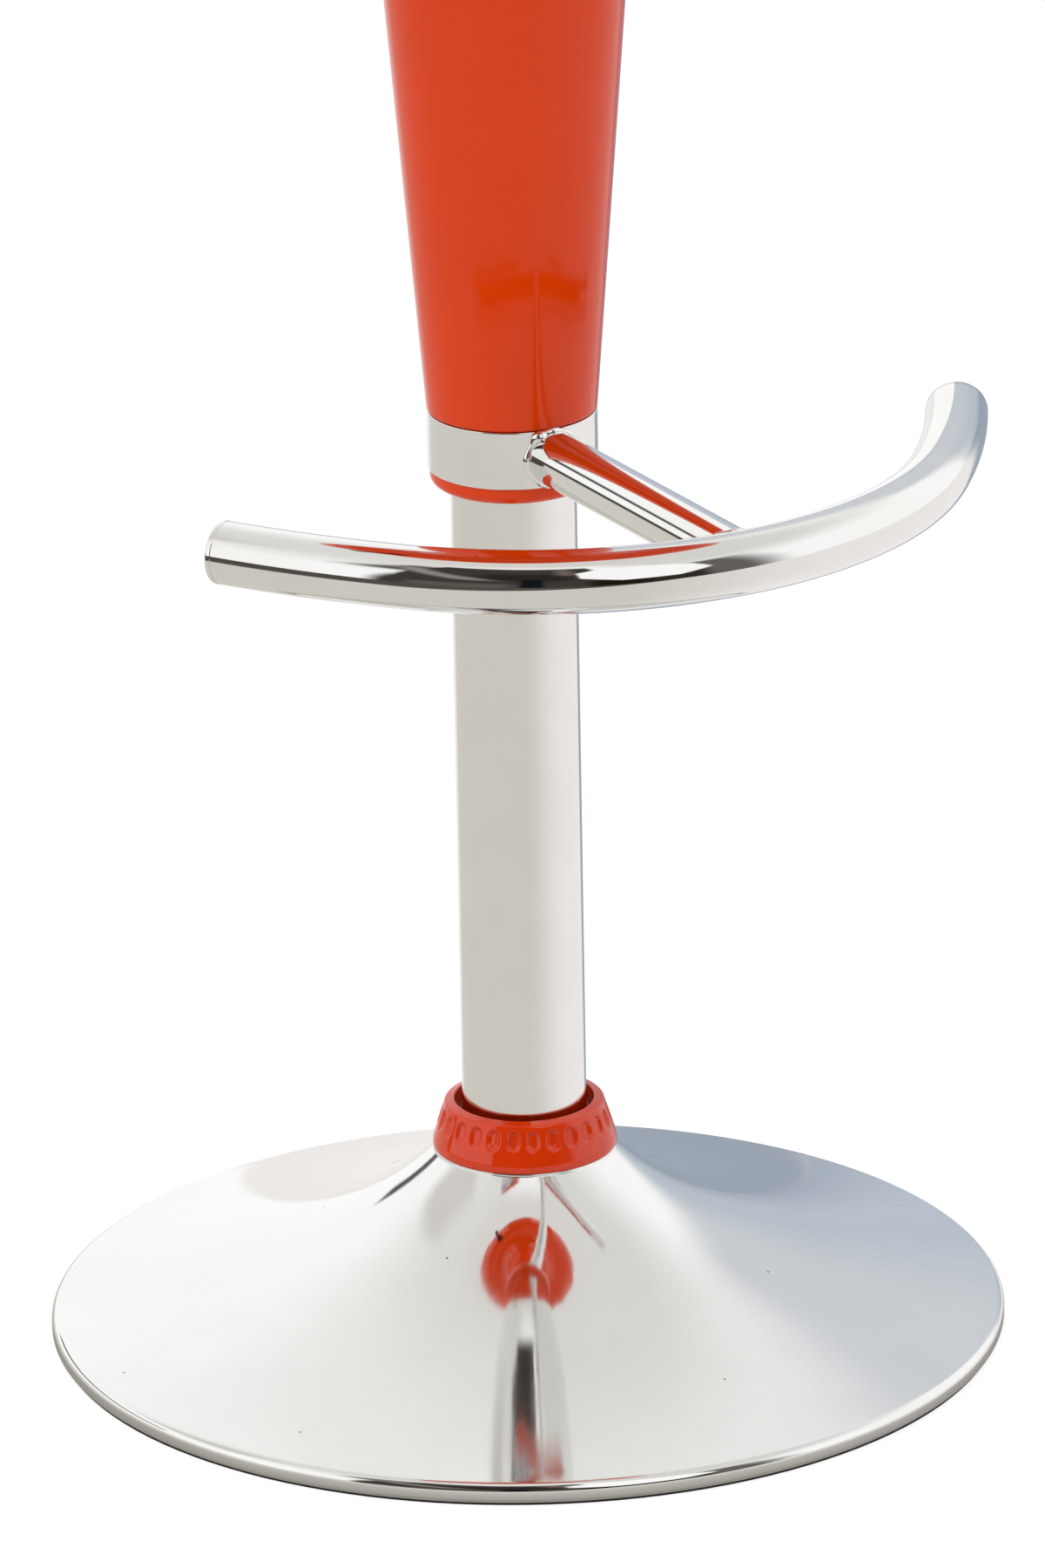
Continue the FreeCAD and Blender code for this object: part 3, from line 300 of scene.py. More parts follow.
@dataclass(frozen=True)
class PressedChrome(Finish):
    """Chrome on a deep-drawn pressing, whose polish still shows the draw lines and a few pits.

    A draw line is as wide as its share of the radius, and the change says how soon it fades outwards.
    """

    line_share: float = 0.05
    line_change: float = 2.0
    line_detail: float = 1.0
    line_height: float = 0.01
    pit_spacing: float = 110.0
    pit_size: float = 0.5
    pit_colour: str = "8A8884"

    def dress(self, tree: NodeTree, shader: Node) -> None:
        """Add draw lines that run out from the neck, and pits, to the plain chrome.

        Args:
            tree: The material's node tree.
            shader: Its Principled BSDF.
        """
        super().dress(tree, shader)
        place = add_node(tree, "ShaderNodeTexCoord").outputs["Object"]
        flat = add_node(tree, "ShaderNodeVectorMath", {0: place, 1: (1.0, 1.0, 0.0)}, operation="MULTIPLY")
        outward = add_node(tree, "ShaderNodeVectorMath", {0: flat.outputs["Vector"]}, operation="NORMALIZE")
        swept = add_node(tree, "ShaderNodeVectorMath", {
            0: place, 1: (self.line_change, self.line_change, 0.0), 2: outward.outputs["Vector"]},
            operation="MULTIPLY_ADD")
        lines = add_node(tree, "ShaderNodeTexNoise", {
            "Vector": swept.outputs["Vector"], "Scale": 1 / self.line_share, "Detail": self.line_detail})
        self.bump(tree, shader, lines.outputs["Fac"], self.line_height)
        pits = add_node(tree, "ShaderNodeTexVoronoi", {
            "Vector": place, "Scale": per_metre(self.pit_spacing), "Randomness": 1.0},
            voronoi_dimensions="2D")
        pitted = work_out(tree, "LESS_THAN", pits.outputs["Distance"], self.pit_size / self.pit_spacing)
        plain = shader.inputs["Base Color"].links[0].from_socket
        tree.links.new(blend(tree, pitted, plain, self.pit_colour), shader.inputs["Base Color"])


@dataclass(frozen=True)
class TurnedMetal(Finish):
    """Metal cut on a lathe, with fine rings round the column's axis."""

    ring_spacing: float = 1.2
    ring_height: float = 0.02
    ring_waver: float = 0.4

    def dress(self, tree: NodeTree, shader: Node) -> None:
        """Add the tool's rings, drawn coarser than real so that they show.

        Args:
            tree: The material's node tree.
            shader: Its Principled BSDF.
        """
        super().dress(tree, shader)
        place = add_node(tree, "ShaderNodeTexCoord").outputs["Object"]
        rings = add_node(tree, "ShaderNodeTexWave", {
            "Vector": place, "Scale": per_metre(self.ring_spacing) / FULL_TURN,
            "Distortion": self.ring_waver}, wave_type="RINGS", rings_direction="Z")
        self.bump(tree, shader, rings.outputs["Fac"], self.ring_height)


# Nickel-chrome plate over polished steel tube: a mirror, with a very light cloudiness in the polish
CHROME = Finish("chrome_plated_tube", Slot.CHROMED_STEEL, "EDEDEC", "E9E8E6", (0.02, 0.05),
                patch_size=45.0, grain_size=60.0, grain_height=0.006, metallic=1.0)
# The same plate on the deep-drawn foot, where the steel under it was stretched and is less flat
DRAWN_CHROME = PressedChrome("chrome_plated_pressing", Slot.CHROMED_STEEL, "EEEEED", "E9E9E8",
                             (0.04, 0.09), patch_size=70.0, grain_size=80.0, grain_height=0.02,
                             metallic=1.0)
# Injection-moulded ABS out of a polished mould: even deep orange under a hard clear gloss
ABS = Finish("injection_moulded_abs", Slot.ORANGE_ABS, "D63B00", "D13900", (0.07, 0.11),
             patch_size=60.0, grain_size=9.0, grain_height=0.003, ior=1.53, specular=0.28)
# The small ring comes from its own mould and batch, and is a little redder and glossier
RING_ABS = Finish("injection_moulded_abs_ring", Slot.ORANGE_ABS, "D23502", "CC3201", (0.04, 0.08),
                  patch_size=12.0, grain_size=4.0, grain_height=0.004, ior=1.53)
# Bright zinc plate with clear passivate on cold-rolled steel: grey and satin, slightly spangled
ZINC = TurnedMetal("bright_zinc_plate", Slot.ZINC_PLATED_STEEL, "C4C7C9", "AEB2B5", (0.25, 0.4),
                   patch_size=9.0, grain_size=1.5, grain_height=0.01, metallic=1.0)
# Hardened steel ground round: bright, with fine grinding rings
GROUND = TurnedMetal("ground_bearing_steel", Slot.GROUND_STEEL, "CFD0D2", "BFC0C3", (0.12, 0.2),
                     patch_size=14.0, grain_size=1.0, grain_height=0.004, metallic=1.0,
                     ring_spacing=0.8, ring_height=0.006)
# Polyester powder coat baked on steel: black, with the fine orange peel of flowed powder
POWDER = Finish("black_powder_coat", Slot.BLACK_STEEL, "191A1B", "1F2021", (0.38, 0.5),
                patch_size=20.0, grain_size=1.2, grain_height=0.03, ior=1.52)
# Grey iron out of a green-sand mould: dull dark grey with the sand's coarse grain
SAND_CAST = Finish("sand_cast_iron", Slot.CAST_IRON, "3E3B38", "4A423B", (0.6, 0.8),
                   patch_size=12.0, grain_size=1.0, grain_height=0.15, metallic=0.6)
# Moulded nitrile rubber: near black and matt, greyed where it has bloomed
RUBBER = Finish("moulded_nitrile_rubber", Slot.BLACK_RUBBER, "161616", "222221", (0.7, 0.85),
                patch_size=8.0, grain_size=0.8, grain_height=0.02)
# Natural acetal turned from bar: milky white with a waxy sheen
ACETAL = Finish("natural_acetal", Slot.WHITE_ACETAL, "ECEBE6", "E3E1DA", (0.3, 0.4),
                patch_size=15.0, grain_size=1.0, grain_height=0.005, ior=1.48)
# Black ABS from a lightly spark-eroded mould: satin with a fine even grain
BLACK_ABS = Finish("spark_grained_abs", Slot.BLACK_ABS, "1A1A1B", "202021", (0.4, 0.5),
                   patch_size=10.0, grain_size=0.5, grain_height=0.015, ior=1.53)
FINISHES = {finish.slot.value: finish for finish in (
    CHROME, ABS, ZINC, GROUND, POWDER, SAND_CAST, RUBBER, ACETAL, BLACK_ABS)}


@lru_cache(maxsize=None)
def material_of(finish: Finish) -> bpy.types.Material:
    """Make a finish's material once.

    Args:
        finish: The finish.

    Returns:
        The material.
    """
    material = bpy.data.materials.new(finish.name)
    material.use_nodes = True
    tree = material.node_tree
    shader = next(node for node in tree.nodes if node.type == "BSDF_PRINCIPLED")
    shader.inputs["Metallic"].default_value = finish.metallic
    if finish.metallic < 1.0:
        shader.inputs["IOR"].default_value = finish.ior
        shader.inputs["Specular IOR Level"].default_value = finish.specular
    finish.dress(tree, shader)
    return material


def extent(node: str) -> tuple[Vector, Vector]:
    """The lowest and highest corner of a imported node, in millimetres."""
    low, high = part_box(node)
    return low * MILLIMETRES_PER_METRE, high * MILLIMETRES_PER_METRE


def make_piece(name: str, mesh: BMesh, finish: Finish, body: Body, replaced: Sequence[str]) -> None:
    """Turn a mesh in millimetres into a dressed piece that rides on its body.

    Args:
        name: The piece's name.
        mesh: Its mesh, which is used up.
        finish: Its finish.
        body: What it moves with.
        replaced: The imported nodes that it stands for.
    """
    for face in mesh.faces:
        face.smooth = True
    for edge in mesh.edges:
        edge.smooth = len(edge.link_faces) != 2 or edge.calc_face_angle() < SHARP_ANGLE
    bmesh.ops.scale(mesh, vec=Vector((1, 1, 1)) / MILLIMETRES_PER_METRE, verts=mesh.verts)
    data = bpy.data.meshes.new(name)
    mesh.to_mesh(data)
    mesh.free()
    data.materials.append(material_of(finish))
    piece = add_object(name, data)
    weighting = piece.modifiers.new("Even shading", "WEIGHTED_NORMAL")
    weighting.keep_sharp = True
    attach(piece, body.value)
    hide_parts(*replaced)
    log.info("%s: %d faces, rides on %s", name, len(data.polygons), body.value)


def merged(mesh: BMesh) -> BMesh:
    """Join a mesh's doubled points and point its faces outwards.

    Args:
        mesh: The mesh.

    Returns:
        The same mesh.
    """
    bmesh.ops.remove_doubles(mesh, verts=mesh.verts, dist=MERGE_DISTANCE)
    bmesh.ops.recalc_face_normals(mesh, faces=mesh.faces)
    return mesh


def draw_tube_ends(mesh: BMesh, radii: Iterable[float], segments: int, turn: Matrix) -> None:
    """Draw circles in one plane, from which the walls of a tube can be pulled.

    Args:
        mesh: The mesh that gets them.
        radii: Their radii.
        segments: How many edges each one has.
        turn: Where they lie.
    """
    for radius in radii:
        bmesh.ops.create_circle(mesh, cap_ends=False, radius=radius, segments=segments, matrix=turn)


def edges_of(parts: Iterable[BMVert | BMEdge | BMFace]) -> list[BMEdge]:
    """The edges among the parts that an operator gave back."""
    return [part for part in parts if isinstance(part, BMEdge)]


@dataclass
class Section:
    """Half the section of a turned piece, as a chain of points in millimetres that is then spun."""

    mesh: BMesh = field(default_factory=bmesh.new)
    chain: list[BMVert] = field(default_factory=list)
    roundings: list[tuple[BMVert, float, int]] = field(default_factory=list)

    def to(self, radius: float, height: float, rounding: float = 0.0,
           segments: int = CORNER_SEGMENTS) -> "Section":
        """Draw on to a point.

        Args:
            radius: How far the point is from the axis.
            height: Its height.
            rounding: The radius of the corner there, or 0 for a sharp one.
            segments: How many faces a rounded corner gets.

        Returns:
            The section itself.
        """
        vert = self.mesh.verts.new((radius, 0.0, height))
        if self.chain:
            self.mesh.edges.new((self.chain[-1], vert))
        self.chain.append(vert)
        if rounding:
            self.roundings.append((vert, rounding, segments))
        return self

    def run(self, points: Iterable[tuple[float, float]]) -> "Section":
        """Draw on through several points.

        Args:
            points: The radius and height of each.

        Returns:
            The section itself.
        """
        for radius, height in points:
            self.to(radius, height)
        return self

    def spun(self, steps: int, closed: bool = True) -> BMesh:
        """Round the corners and spin the section about the column's axis.

        Args:
            steps: How many faces go round.
            closed: Whether the last point joins the first.

        Returns:
            The turned mesh.
        """
        if closed:
            self.mesh.edges.new((self.chain[-1], self.chain[0]))
        for vert, radius, segments in self.roundings:
            ways = [(edge.other_vert(vert).co - vert.co).normalized() for edge in vert.link_edges]
            half_turn = (math.pi - ways[0].angle(ways[1])) / 2
            bmesh.ops.bevel(self.mesh, geom=[vert], offset=radius * math.tan(half_turn),
                            offset_type="OFFSET", segments=segments, profile=0.5,
                            affect="VERTICES", material=-1, clamp_overlap=False)
        bmesh.ops.spin(self.mesh, geom=self.mesh.verts[:] + self.mesh.edges[:], cent=Vector(),
                       axis=UP, dvec=Vector(), angle=FULL_TURN, steps=steps, use_merge=True,
                       use_duplicate=False)
        return merged(self.mesh)


def move_points(mesh: BMesh, where: Callable[[Vector], Vector]) -> None:
    """Move each point of a mesh.

    Args:
        mesh: The mesh.
        where: The rule that says where a point goes.
    """
    for vert in mesh.verts:
        vert.co = where(vert.co)


def smooth_step(low: float, high: float, at: float) -> float:
    """How far a value has come between two limits, easing in and out.

    Args:
        low: The lower limit.
        high: The upper limit.
        at: The value.

    Returns:
        A share from 0 to 1.
    """
    share = min(1.0, max(0.0, (at - low) / (high - low)))
    return share * share * (3 - 2 * share)


@dataclass
class Base:
    """The trumpet foot and the fluted ring that hides where the column enters it.

    The flare is one curve. Its two middle poles are shares of the way out and down, and its first and
    last steps give way to the bends of neck and rim.
    """

    sheet: float = 1.5
    rim_height: float = 8.7
    rim_bend: float = 3.8
    rim_turn: float = 1.2
    neck_bend: float = 0.5
    neck_drop: float = 1.0
    near_pole_shares: tuple[float, float] = (0.137, 0.322)
    far_pole_shares: tuple[float, float] = (0.318, 0.637)
    curve_steps: int = 72
    joined_steps: int = 2
    trumpet_steps: int = 288
    ring_overhang: float = 0.1
    ring_band: float = 2.6
    ring_band_bend: float = 7.8
    ring_lip_inset: float = 5.1
    ring_lip_fall: float = 1.1
    ring_lip_width: float = 4.0
    ring_groove: float = 8.5
    ring_edge: float = 1.2
    slope_start_share: float = 0.1
    slope_stop_share: float = 0.94
    flute_count: int = 26
    flute_width: float = 6.3
    flute_length: float = 8.8
    flute_depth: float = 1.3
    flute_place_share: float = 0.62
    flute_turn: float = 11.66
    flute_floor_share: float = 0.4
    steps_per_flute: int = 28
    slope_steps: int = 40

    def build(self) -> None:
        """Build the base's pieces."""
        self.build_trumpet()
        self.build_ring()

    def build_trumpet(self) -> None:
        """Draw the flare as one curve, spin it and give it the sheet's thickness inwards."""
        low, high = extent("base_trumpet")
        hole = extent("column_tube")[1].x
        neck = extent("base_ring")[1].x - self.ring_overhang
        reach = high.x - neck
        start = high.z - self.neck_drop
        drop = start - self.rim_height
        poles = [Vector((neck + reach * out, 0, start - drop * down)) for out, down in (
            (0.0, 0.0), self.near_pole_shares, self.far_pole_shares, (1.0, 1.0))]
        flare = interpolate_bezier(*poles, self.curve_steps)
        section = Section().to(hole, high.z).to(neck, high.z, self.neck_bend)
        section.to(neck, start, self.neck_bend)
        section.run((point.x, point.z) for point in flare[self.joined_steps:-self.joined_steps])
        section.to(high.x, self.rim_height, self.rim_bend, segments=BEND_SEGMENTS)
        section.to(high.x, low.z + self.rim_turn, self.rim_turn)
        section.to(high.x - self.rim_turn, low.z)
        mesh = section.spun(self.trumpet_steps, closed=False)
        top_face = max(mesh.faces, key=lambda face: face.calc_center_median().z)
        if top_face.normal.z < 0:
            bmesh.ops.reverse_faces(mesh, faces=mesh.faces)
        bmesh.ops.solidify(mesh, geom=mesh.faces[:], thickness=self.sheet)
        make_piece("trumpet_foot", mesh, DRAWN_CHROME, Body.BASE, ["base_trumpet"])

    def build_ring(self) -> None:
        """Spin the ring and press its flutes into the slope."""
        low, high = extent("base_ring")
        hole = extent("column_tube")[1].x
        outer = high.x
        lip = outer - self.ring_lip_inset
        inner = lip - self.ring_lip_width
        lip_top = high.z - self.ring_lip_fall
        band_top = low.z + self.ring_band
        section = Section().to(hole, low.z).to(outer, low.z, self.ring_edge / 2)
        section.to(outer, band_top, self.ring_band_bend)
        for step in range(self.slope_steps + 1):
            share = self.slope_start_share
            share += (self.slope_stop_share - self.slope_start_share) * step / self.slope_steps
            section.to(outer + (lip - outer) * share, band_top + (lip_top - band_top) * share)
        section.to(lip, lip_top, self.ring_edge, segments=LIP_SEGMENTS)
        section.to(inner, high.z, self.ring_edge / 2)
        section.to(inner, high.z - self.ring_groove).to(hole, high.z - self.ring_groove)
        mesh = section.spun(self.flute_count * self.steps_per_flute)
        middle = band_top + (lip_top - band_top) * self.flute_place_share
        spacing = FULL_TURN / self.flute_count
        start = math.radians(self.flute_turn)

        def pressed(point: Vector) -> Vector:
            """Press the flutes into the plain ring.

            Args:
                point: A point of the plain ring.

            Returns:
                Its new place.
            """
            radius = math.hypot(point.x, point.y)
            if radius < lip:
                return point
            turn = (math.atan2(point.y, point.x) - start) / spacing
            across = (turn - round(turn)) * spacing * radius
            beyond = max(abs(point.z - middle) - (self.flute_length - self.flute_width) / 2, 0.0)
            away = math.hypot(across, beyond) / (self.flute_width / 2)
            depth = self.flute_depth * (1 - smooth_step(self.flute_floor_share, 1.0, away))
            return Vector((point.x * (1 - depth / radius), point.y * (1 - depth / radius), point.z))

        move_points(mesh, pressed)
        make_piece("fluted_ring", mesh, RING_ABS, Body.BASE, ["base_ring"])


@dataclass
class Column:
    """The plain chromed tube that the seat unit slides on."""

    wall: float = 2.0
    edge: float = 0.4
    steps: int = 192

    def build(self) -> None:
        """Spin the tube's wall."""
        low, high = extent("column_tube")
        bore = high.x - self.wall
        section = Section().to(bore, low.z).to(high.x, low.z, self.edge, segments=EDGE_SEGMENTS)
        section.to(high.x, high.z, self.edge, segments=EDGE_SEGMENTS).to(bore, high.z)
        make_piece("column", section.spun(self.steps), CHROME, Body.BASE, ["column_tube"])


@dataclass
class Collar:
    """The chromed collar under the cone and the orange bush that lines it."""

    wall: float = 2.5
    edge: float = 0.5
    steps: int = 192
    bush_bend: float = 4.4
    bush_bore_gap: float = 0.06
    bush_fit_gap: float = 0.05
    cone_wall: float = 3.55
    screw_radius: float = 2.55
    hole_reach: float = 4.0

    def build(self) -> None:
        """Build the collar and the bush."""
        self.build_collar()
        self.build_bush()

    def build_collar(self) -> None:
        """Spin the band and open the grub screw's hole at its back."""
        low, high = extent("footrest_collar")
        outer = high.x
        bore = outer - self.wall
        middle = (low.z + high.z) / 2
        section = Section()
        section.to(bore, low.z).to(outer, low.z, self.edge, segments=EDGE_SEGMENTS)
        section.to(outer, middle - self.hole_reach).to(outer, middle + self.hole_reach)
        section.to(outer, high.z, self.edge, segments=EDGE_SEGMENTS).to(bore, high.z)
        section.to(bore, middle + self.hole_reach).to(bore, middle - self.hole_reach)
        mesh = section.spun(self.steps)
        self.open_hole(mesh, middle)
        make_piece("collar_band", mesh, CHROME, Body.SEAT, ["footrest_collar"])

    def open_hole(self, mesh: BMesh, middle: float) -> None:
        """Open the grub screw's round hole through the back of the band.

        Args:
            mesh: The band's mesh, with one row of faces on each side that spans the hole's reach.
            middle: The height of the hole's centre.
        """
        reach = self.hole_reach

        def in_way(face: BMFace) -> bool:
            """Whether a face of the band lies where the hole goes."""
            centre = face.calc_center_median()
            return centre.y > 0 and abs(centre.x) < reach and abs(centre.z - middle) < reach / 2

        bmesh.ops.delete(mesh, geom=[face for face in mesh.faces if in_way(face)], context="FACES")
        rims = [edge for edge in mesh.edges if edge.is_boundary]
        walls = {round(math.hypot(*vert.co.xy)) for edge in rims for vert in edge.verts}
        turn = Matrix.Translation((0, 0, middle)) @ Matrix.Rotation(QUARTER_TURN, 4, "X")
        rings = []
        for wall in sorted(walls):
            rim = [edge for edge in rims if round(math.hypot(*edge.verts[0].co.xy)) == wall]
            true_wall = math.hypot(*rim[0].verts[0].co.xy)
            circle = bmesh.ops.create_circle(mesh, cap_ends=False, radius=self.screw_radius,
                                             segments=len(rim) * 2, matrix=turn)["verts"]
            for vert in circle:
                vert.co.y = math.sqrt(true_wall ** 2 - vert.co.x ** 2)
            ring = list({edge for vert in circle for edge in vert.link_edges})
            bmesh.ops.bridge_loops(mesh, edges=rim + ring)
            rings += ring
        bmesh.ops.bridge_loops(mesh, edges=rings)
        bmesh.ops.recalc_face_normals(mesh, faces=mesh.faces)

    def build_bush(self) -> None:
        """Spin the bush with its rounded foot and the sleeve that runs up inside the cone."""
        low, high = extent("trim_bush")
        band_low, band_high = extent("footrest_collar")
        bore = extent("column_tube")[1].x + self.bush_bore_gap
        fit = band_high.x - self.wall - self.bush_fit_gap
        sleeve = band_high.x - self.cone_wall
        section = Section().to(bore, low.z).to(high.x, low.z, self.bush_bend, segments=BEND_SEGMENTS)
        section.to(high.x, band_low.z).to(fit, band_low.z).to(fit, band_high.z)
        section.to(sleeve, band_high.z).to(sleeve, high.z).to(bore, high.z)
        make_piece("guide_bush", section.spun(self.steps), ABS, Body.SEAT, ["trim_bush"])


@dataclass
class Footrest:
    """The bent bar with its end caps, and the strut that is welded to the collar and the bar."""

    bend_radius: float = 158.0
    bend_angle: float = 48.5
    end_radius: float = 412.0
    end_angle: float = 10.5
    tube_wall: float = 1.5
    bend_steps: int = 54
    end_steps: int = 18
    tube_segments: int = 96
    strut_segments: int = 72
    cap_edge: float = 0.9
    cap_groove: float = 0.35
    cap_plug: float = 9.0
    plug_gap: float = 0.05
    least_cap: float = 2.7
    weld_bead: float = 1.5
    small_bead: float = 0.8
    weld_segments: int = 16
    weld_steps: int = 160
    lump_counts: tuple[int, int, int] = (3, 5, 8)
    lump_shares: tuple[float, float, float] = (0.16, 0.12, 0.07)
    blob_turn: float = 126.0
    blob_spread: float = 13.0
    blob_share: float = 1.15
    bar_radius: float = field(init=False)
    height: float = field(init=False)
    collar_radius: float = field(init=False)
    strut_radius: float = field(init=False)
    middle: Vector = field(init=False)
    centre: Vector = field(init=False)
    far_centre: Vector = field(init=False)
    end: Vector = field(init=False)
    end_turn: float = field(init=False)

    def __post_init__(self) -> None:
        """Read the places of the bar and collar from the frame."""
        low, high = extent("footrest_bar")
        self.bar_radius = (high.z - low.z) / 2
        self.height = (high.z + low.z) / 2
        self.middle = Vector((0, low.y + self.bar_radius, self.height))
        self.centre = self.middle + ALONG_FOOTREST * self.bend_radius
        self.collar_radius = extent("footrest_collar")[1].x
        self.strut_radius = extent("footrest_strut")[1].x
        joint = self.centre + direction(self.bend_angle, 0.0) * self.bend_radius
        self.far_centre = joint - direction(self.bend_angle, 0.0) * self.end_radius
        whole_angle = self.bend_angle + self.end_angle
        self.end = self.far_centre + direction(whole_angle, 0.0) * self.end_radius
        self.end_turn = math.radians(whole_angle)

    def build(self) -> None:
        """Build the footrest's pieces."""
        self.build_bar()
        self.build_strut()
        for name, side in (("right", 1), ("left", -1)):
            self.build_cap(name, side)
        self.build_weld("collar_weld", self.weld_bead, self.on_collar)
        self.build_weld("bar_weld", self.small_bead, self.on_bar)

    def build_bar(self) -> None:
        """Bend half the tube from its middle by two spins, and mirror it."""
        mesh = bmesh.new()
        turn = Matrix.Translation(self.middle) @ Matrix.Rotation(QUARTER_TURN, 4, "Y")
        radii = (self.bar_radius, self.bar_radius - self.tube_wall)
        draw_tube_ends(mesh, radii, self.tube_segments, turn)
        last = mesh.verts[:] + mesh.edges[:]
        for centre, angle, steps in ((self.centre, self.bend_angle, self.bend_steps),
                                     (self.far_centre, self.end_angle, self.end_steps)):
            last = bmesh.ops.spin(mesh, geom=last, cent=centre, axis=UP, dvec=Vector(),
                                  angle=math.radians(angle), steps=steps, use_merge=False,
                                  use_duplicate=False)["geom_last"]
        bmesh.ops.bridge_loops(mesh, edges=edges_of(last))
        bmesh.ops.mirror(mesh, geom=mesh.verts[:] + mesh.edges[:] + mesh.faces[:], matrix=Matrix(),
                         merge_dist=MERGE_DISTANCE, axis="X")
        make_piece("footrest_tube", merged(mesh), CHROME, Body.SEAT, ["footrest_bar"])

    def on_collar(self, x: float, above: float) -> float:
        """How far along Y the collar's face is at that place to the side, at any height on it."""
        return -math.sqrt(self.collar_radius ** 2 - x ** 2)

    def on_bar(self, x: float, above: float) -> float:
        """How far along Y the bar's inner face is.

        Args:
            x: The place to the side.
            above: The place above the bar's middle.

        Returns:
            The place along Y.
        """
        level = min(abs(above), self.bar_radius)
        inward = self.bend_radius - math.sqrt(self.bar_radius ** 2 - level ** 2)
        return self.centre.y - math.sqrt(inward ** 2 - x ** 2)

    def build_strut(self) -> None:
        """Draw the tube from the collar to the bar, with both ends cut to fit."""
        mesh = bmesh.new()
        turn = Matrix.Translation((0, 0, self.height)) @ Matrix.Rotation(QUARTER_TURN, 4, "X")
        radii = (self.strut_radius, self.strut_radius - self.tube_wall)
        draw_tube_ends(mesh, radii, self.strut_segments, turn)
        near = mesh.verts[:]
        near_edges = mesh.edges[:]
        drawn = bmesh.ops.extrude_edge_only(mesh, edges=near_edges)["geom"]
        far = [part for part in drawn if isinstance(part, BMVert)]
        for verts, surface in ((near, self.on_collar), (far, self.on_bar)):
            for vert in verts:
                vert.co.y = surface(vert.co.x, vert.co.z - self.height)
        bmesh.ops.bridge_loops(mesh, edges=near_edges)
        bmesh.ops.bridge_loops(mesh, edges=edges_of(drawn))
        make_piece("footrest_stem", merged(mesh), CHROME, Body.SEAT, ["footrest_strut"])

    def build_cap(self, name: str, side: int) -> None:
        """Turn the pressed cap, with its plug and a fine joint line, and seat it in the bar's end.

        Args:
            name: Which end.
            side: 1 for the right end and -1 for the left.
        """
        low, high = extent("end_cap_" + name)
        outermost = high.x if side > 0 else -low.x
        radius = self.bar_radius
        beyond = outermost - self.end.x - radius * math.sin(self.end_turn)
        thickness = max(beyond / math.cos(self.end_turn), self.least_cap)
        plug = radius - self.tube_wall - self.plug_gap
        joint = radius - self.cap_groove
        section = Section().to(0.0, -self.cap_plug).to(plug, -self.cap_plug, self.cap_edge / 2)
        section.to(plug, 0.0).to(joint, 0.0).to(joint, self.cap_groove).to(radius, self.cap_groove)
        section.to(radius, thickness, self.cap_edge).to(0.0, thickness)
        mesh = section.spun(self.tube_segments, closed=False)
        along = Vector((side * math.cos(self.end_turn), math.sin(self.end_turn), 0))
        seat = Vector((side * self.end.x, self.end.y, self.end.z))
        turn = Matrix.Translation(seat) @ along.to_track_quat("Z", "Y").to_matrix().to_4x4()
        bmesh.ops.transform(mesh, matrix=turn, verts=mesh.verts)
        make_piece("bar_end_cap_" + name, mesh, CHROME, Body.SEAT, ["end_cap_" + name])

    def build_weld(self, name: str, bead: float, surface: Callable[[float, float], float]) -> None:
        """Run a lumpy plated bead round the strut where it meets the collar or bar.

        Args:
            name: The weld's name.
            bead: The bead's radius.
            surface: How far along Y the face that it lies on is, for a place to the side and above.
        """
        mesh = bmesh.new()
        bmesh.ops.create_circle(mesh, cap_ends=False, radius=bead, segments=self.weld_segments,
                                matrix=Matrix.Translation((self.strut_radius, 0, 0)))
        bmesh.ops.spin(mesh, geom=mesh.verts[:] + mesh.edges[:], cent=Vector(), axis=ALONG_FOOTREST,
                       dvec=Vector(), angle=FULL_TURN, steps=self.weld_steps, use_merge=True,
                       use_duplicate=False)

        def laid(point: Vector) -> Vector:
            """Make the even bead lumpy and lay it along the face.

            Args:
                point: A point of the even bead.

            Returns:
                Its new place.
            """
            turn = math.atan2(point.z, point.x)
            out = math.hypot(point.x, point.z) - self.strut_radius
            blob = (math.degrees(turn) - self.blob_turn) / self.blob_spread
            size = 1.0 + self.blob_share * math.exp(-blob * blob)
            for count, share in zip(self.lump_counts, self.lump_shares):
                size += share * math.sin(count * turn + count)
            radius = self.strut_radius + out * size
            x = radius * math.cos(turn)
            above = radius * math.sin(turn)
            near = self.strut_radius / radius
            return Vector((x, surface(x * near, above * near) + point.y * size, above + self.height))

        move_points(mesh, laid)
        make_piece(name, merged(mesh), CHROME, Body.SEAT, [])


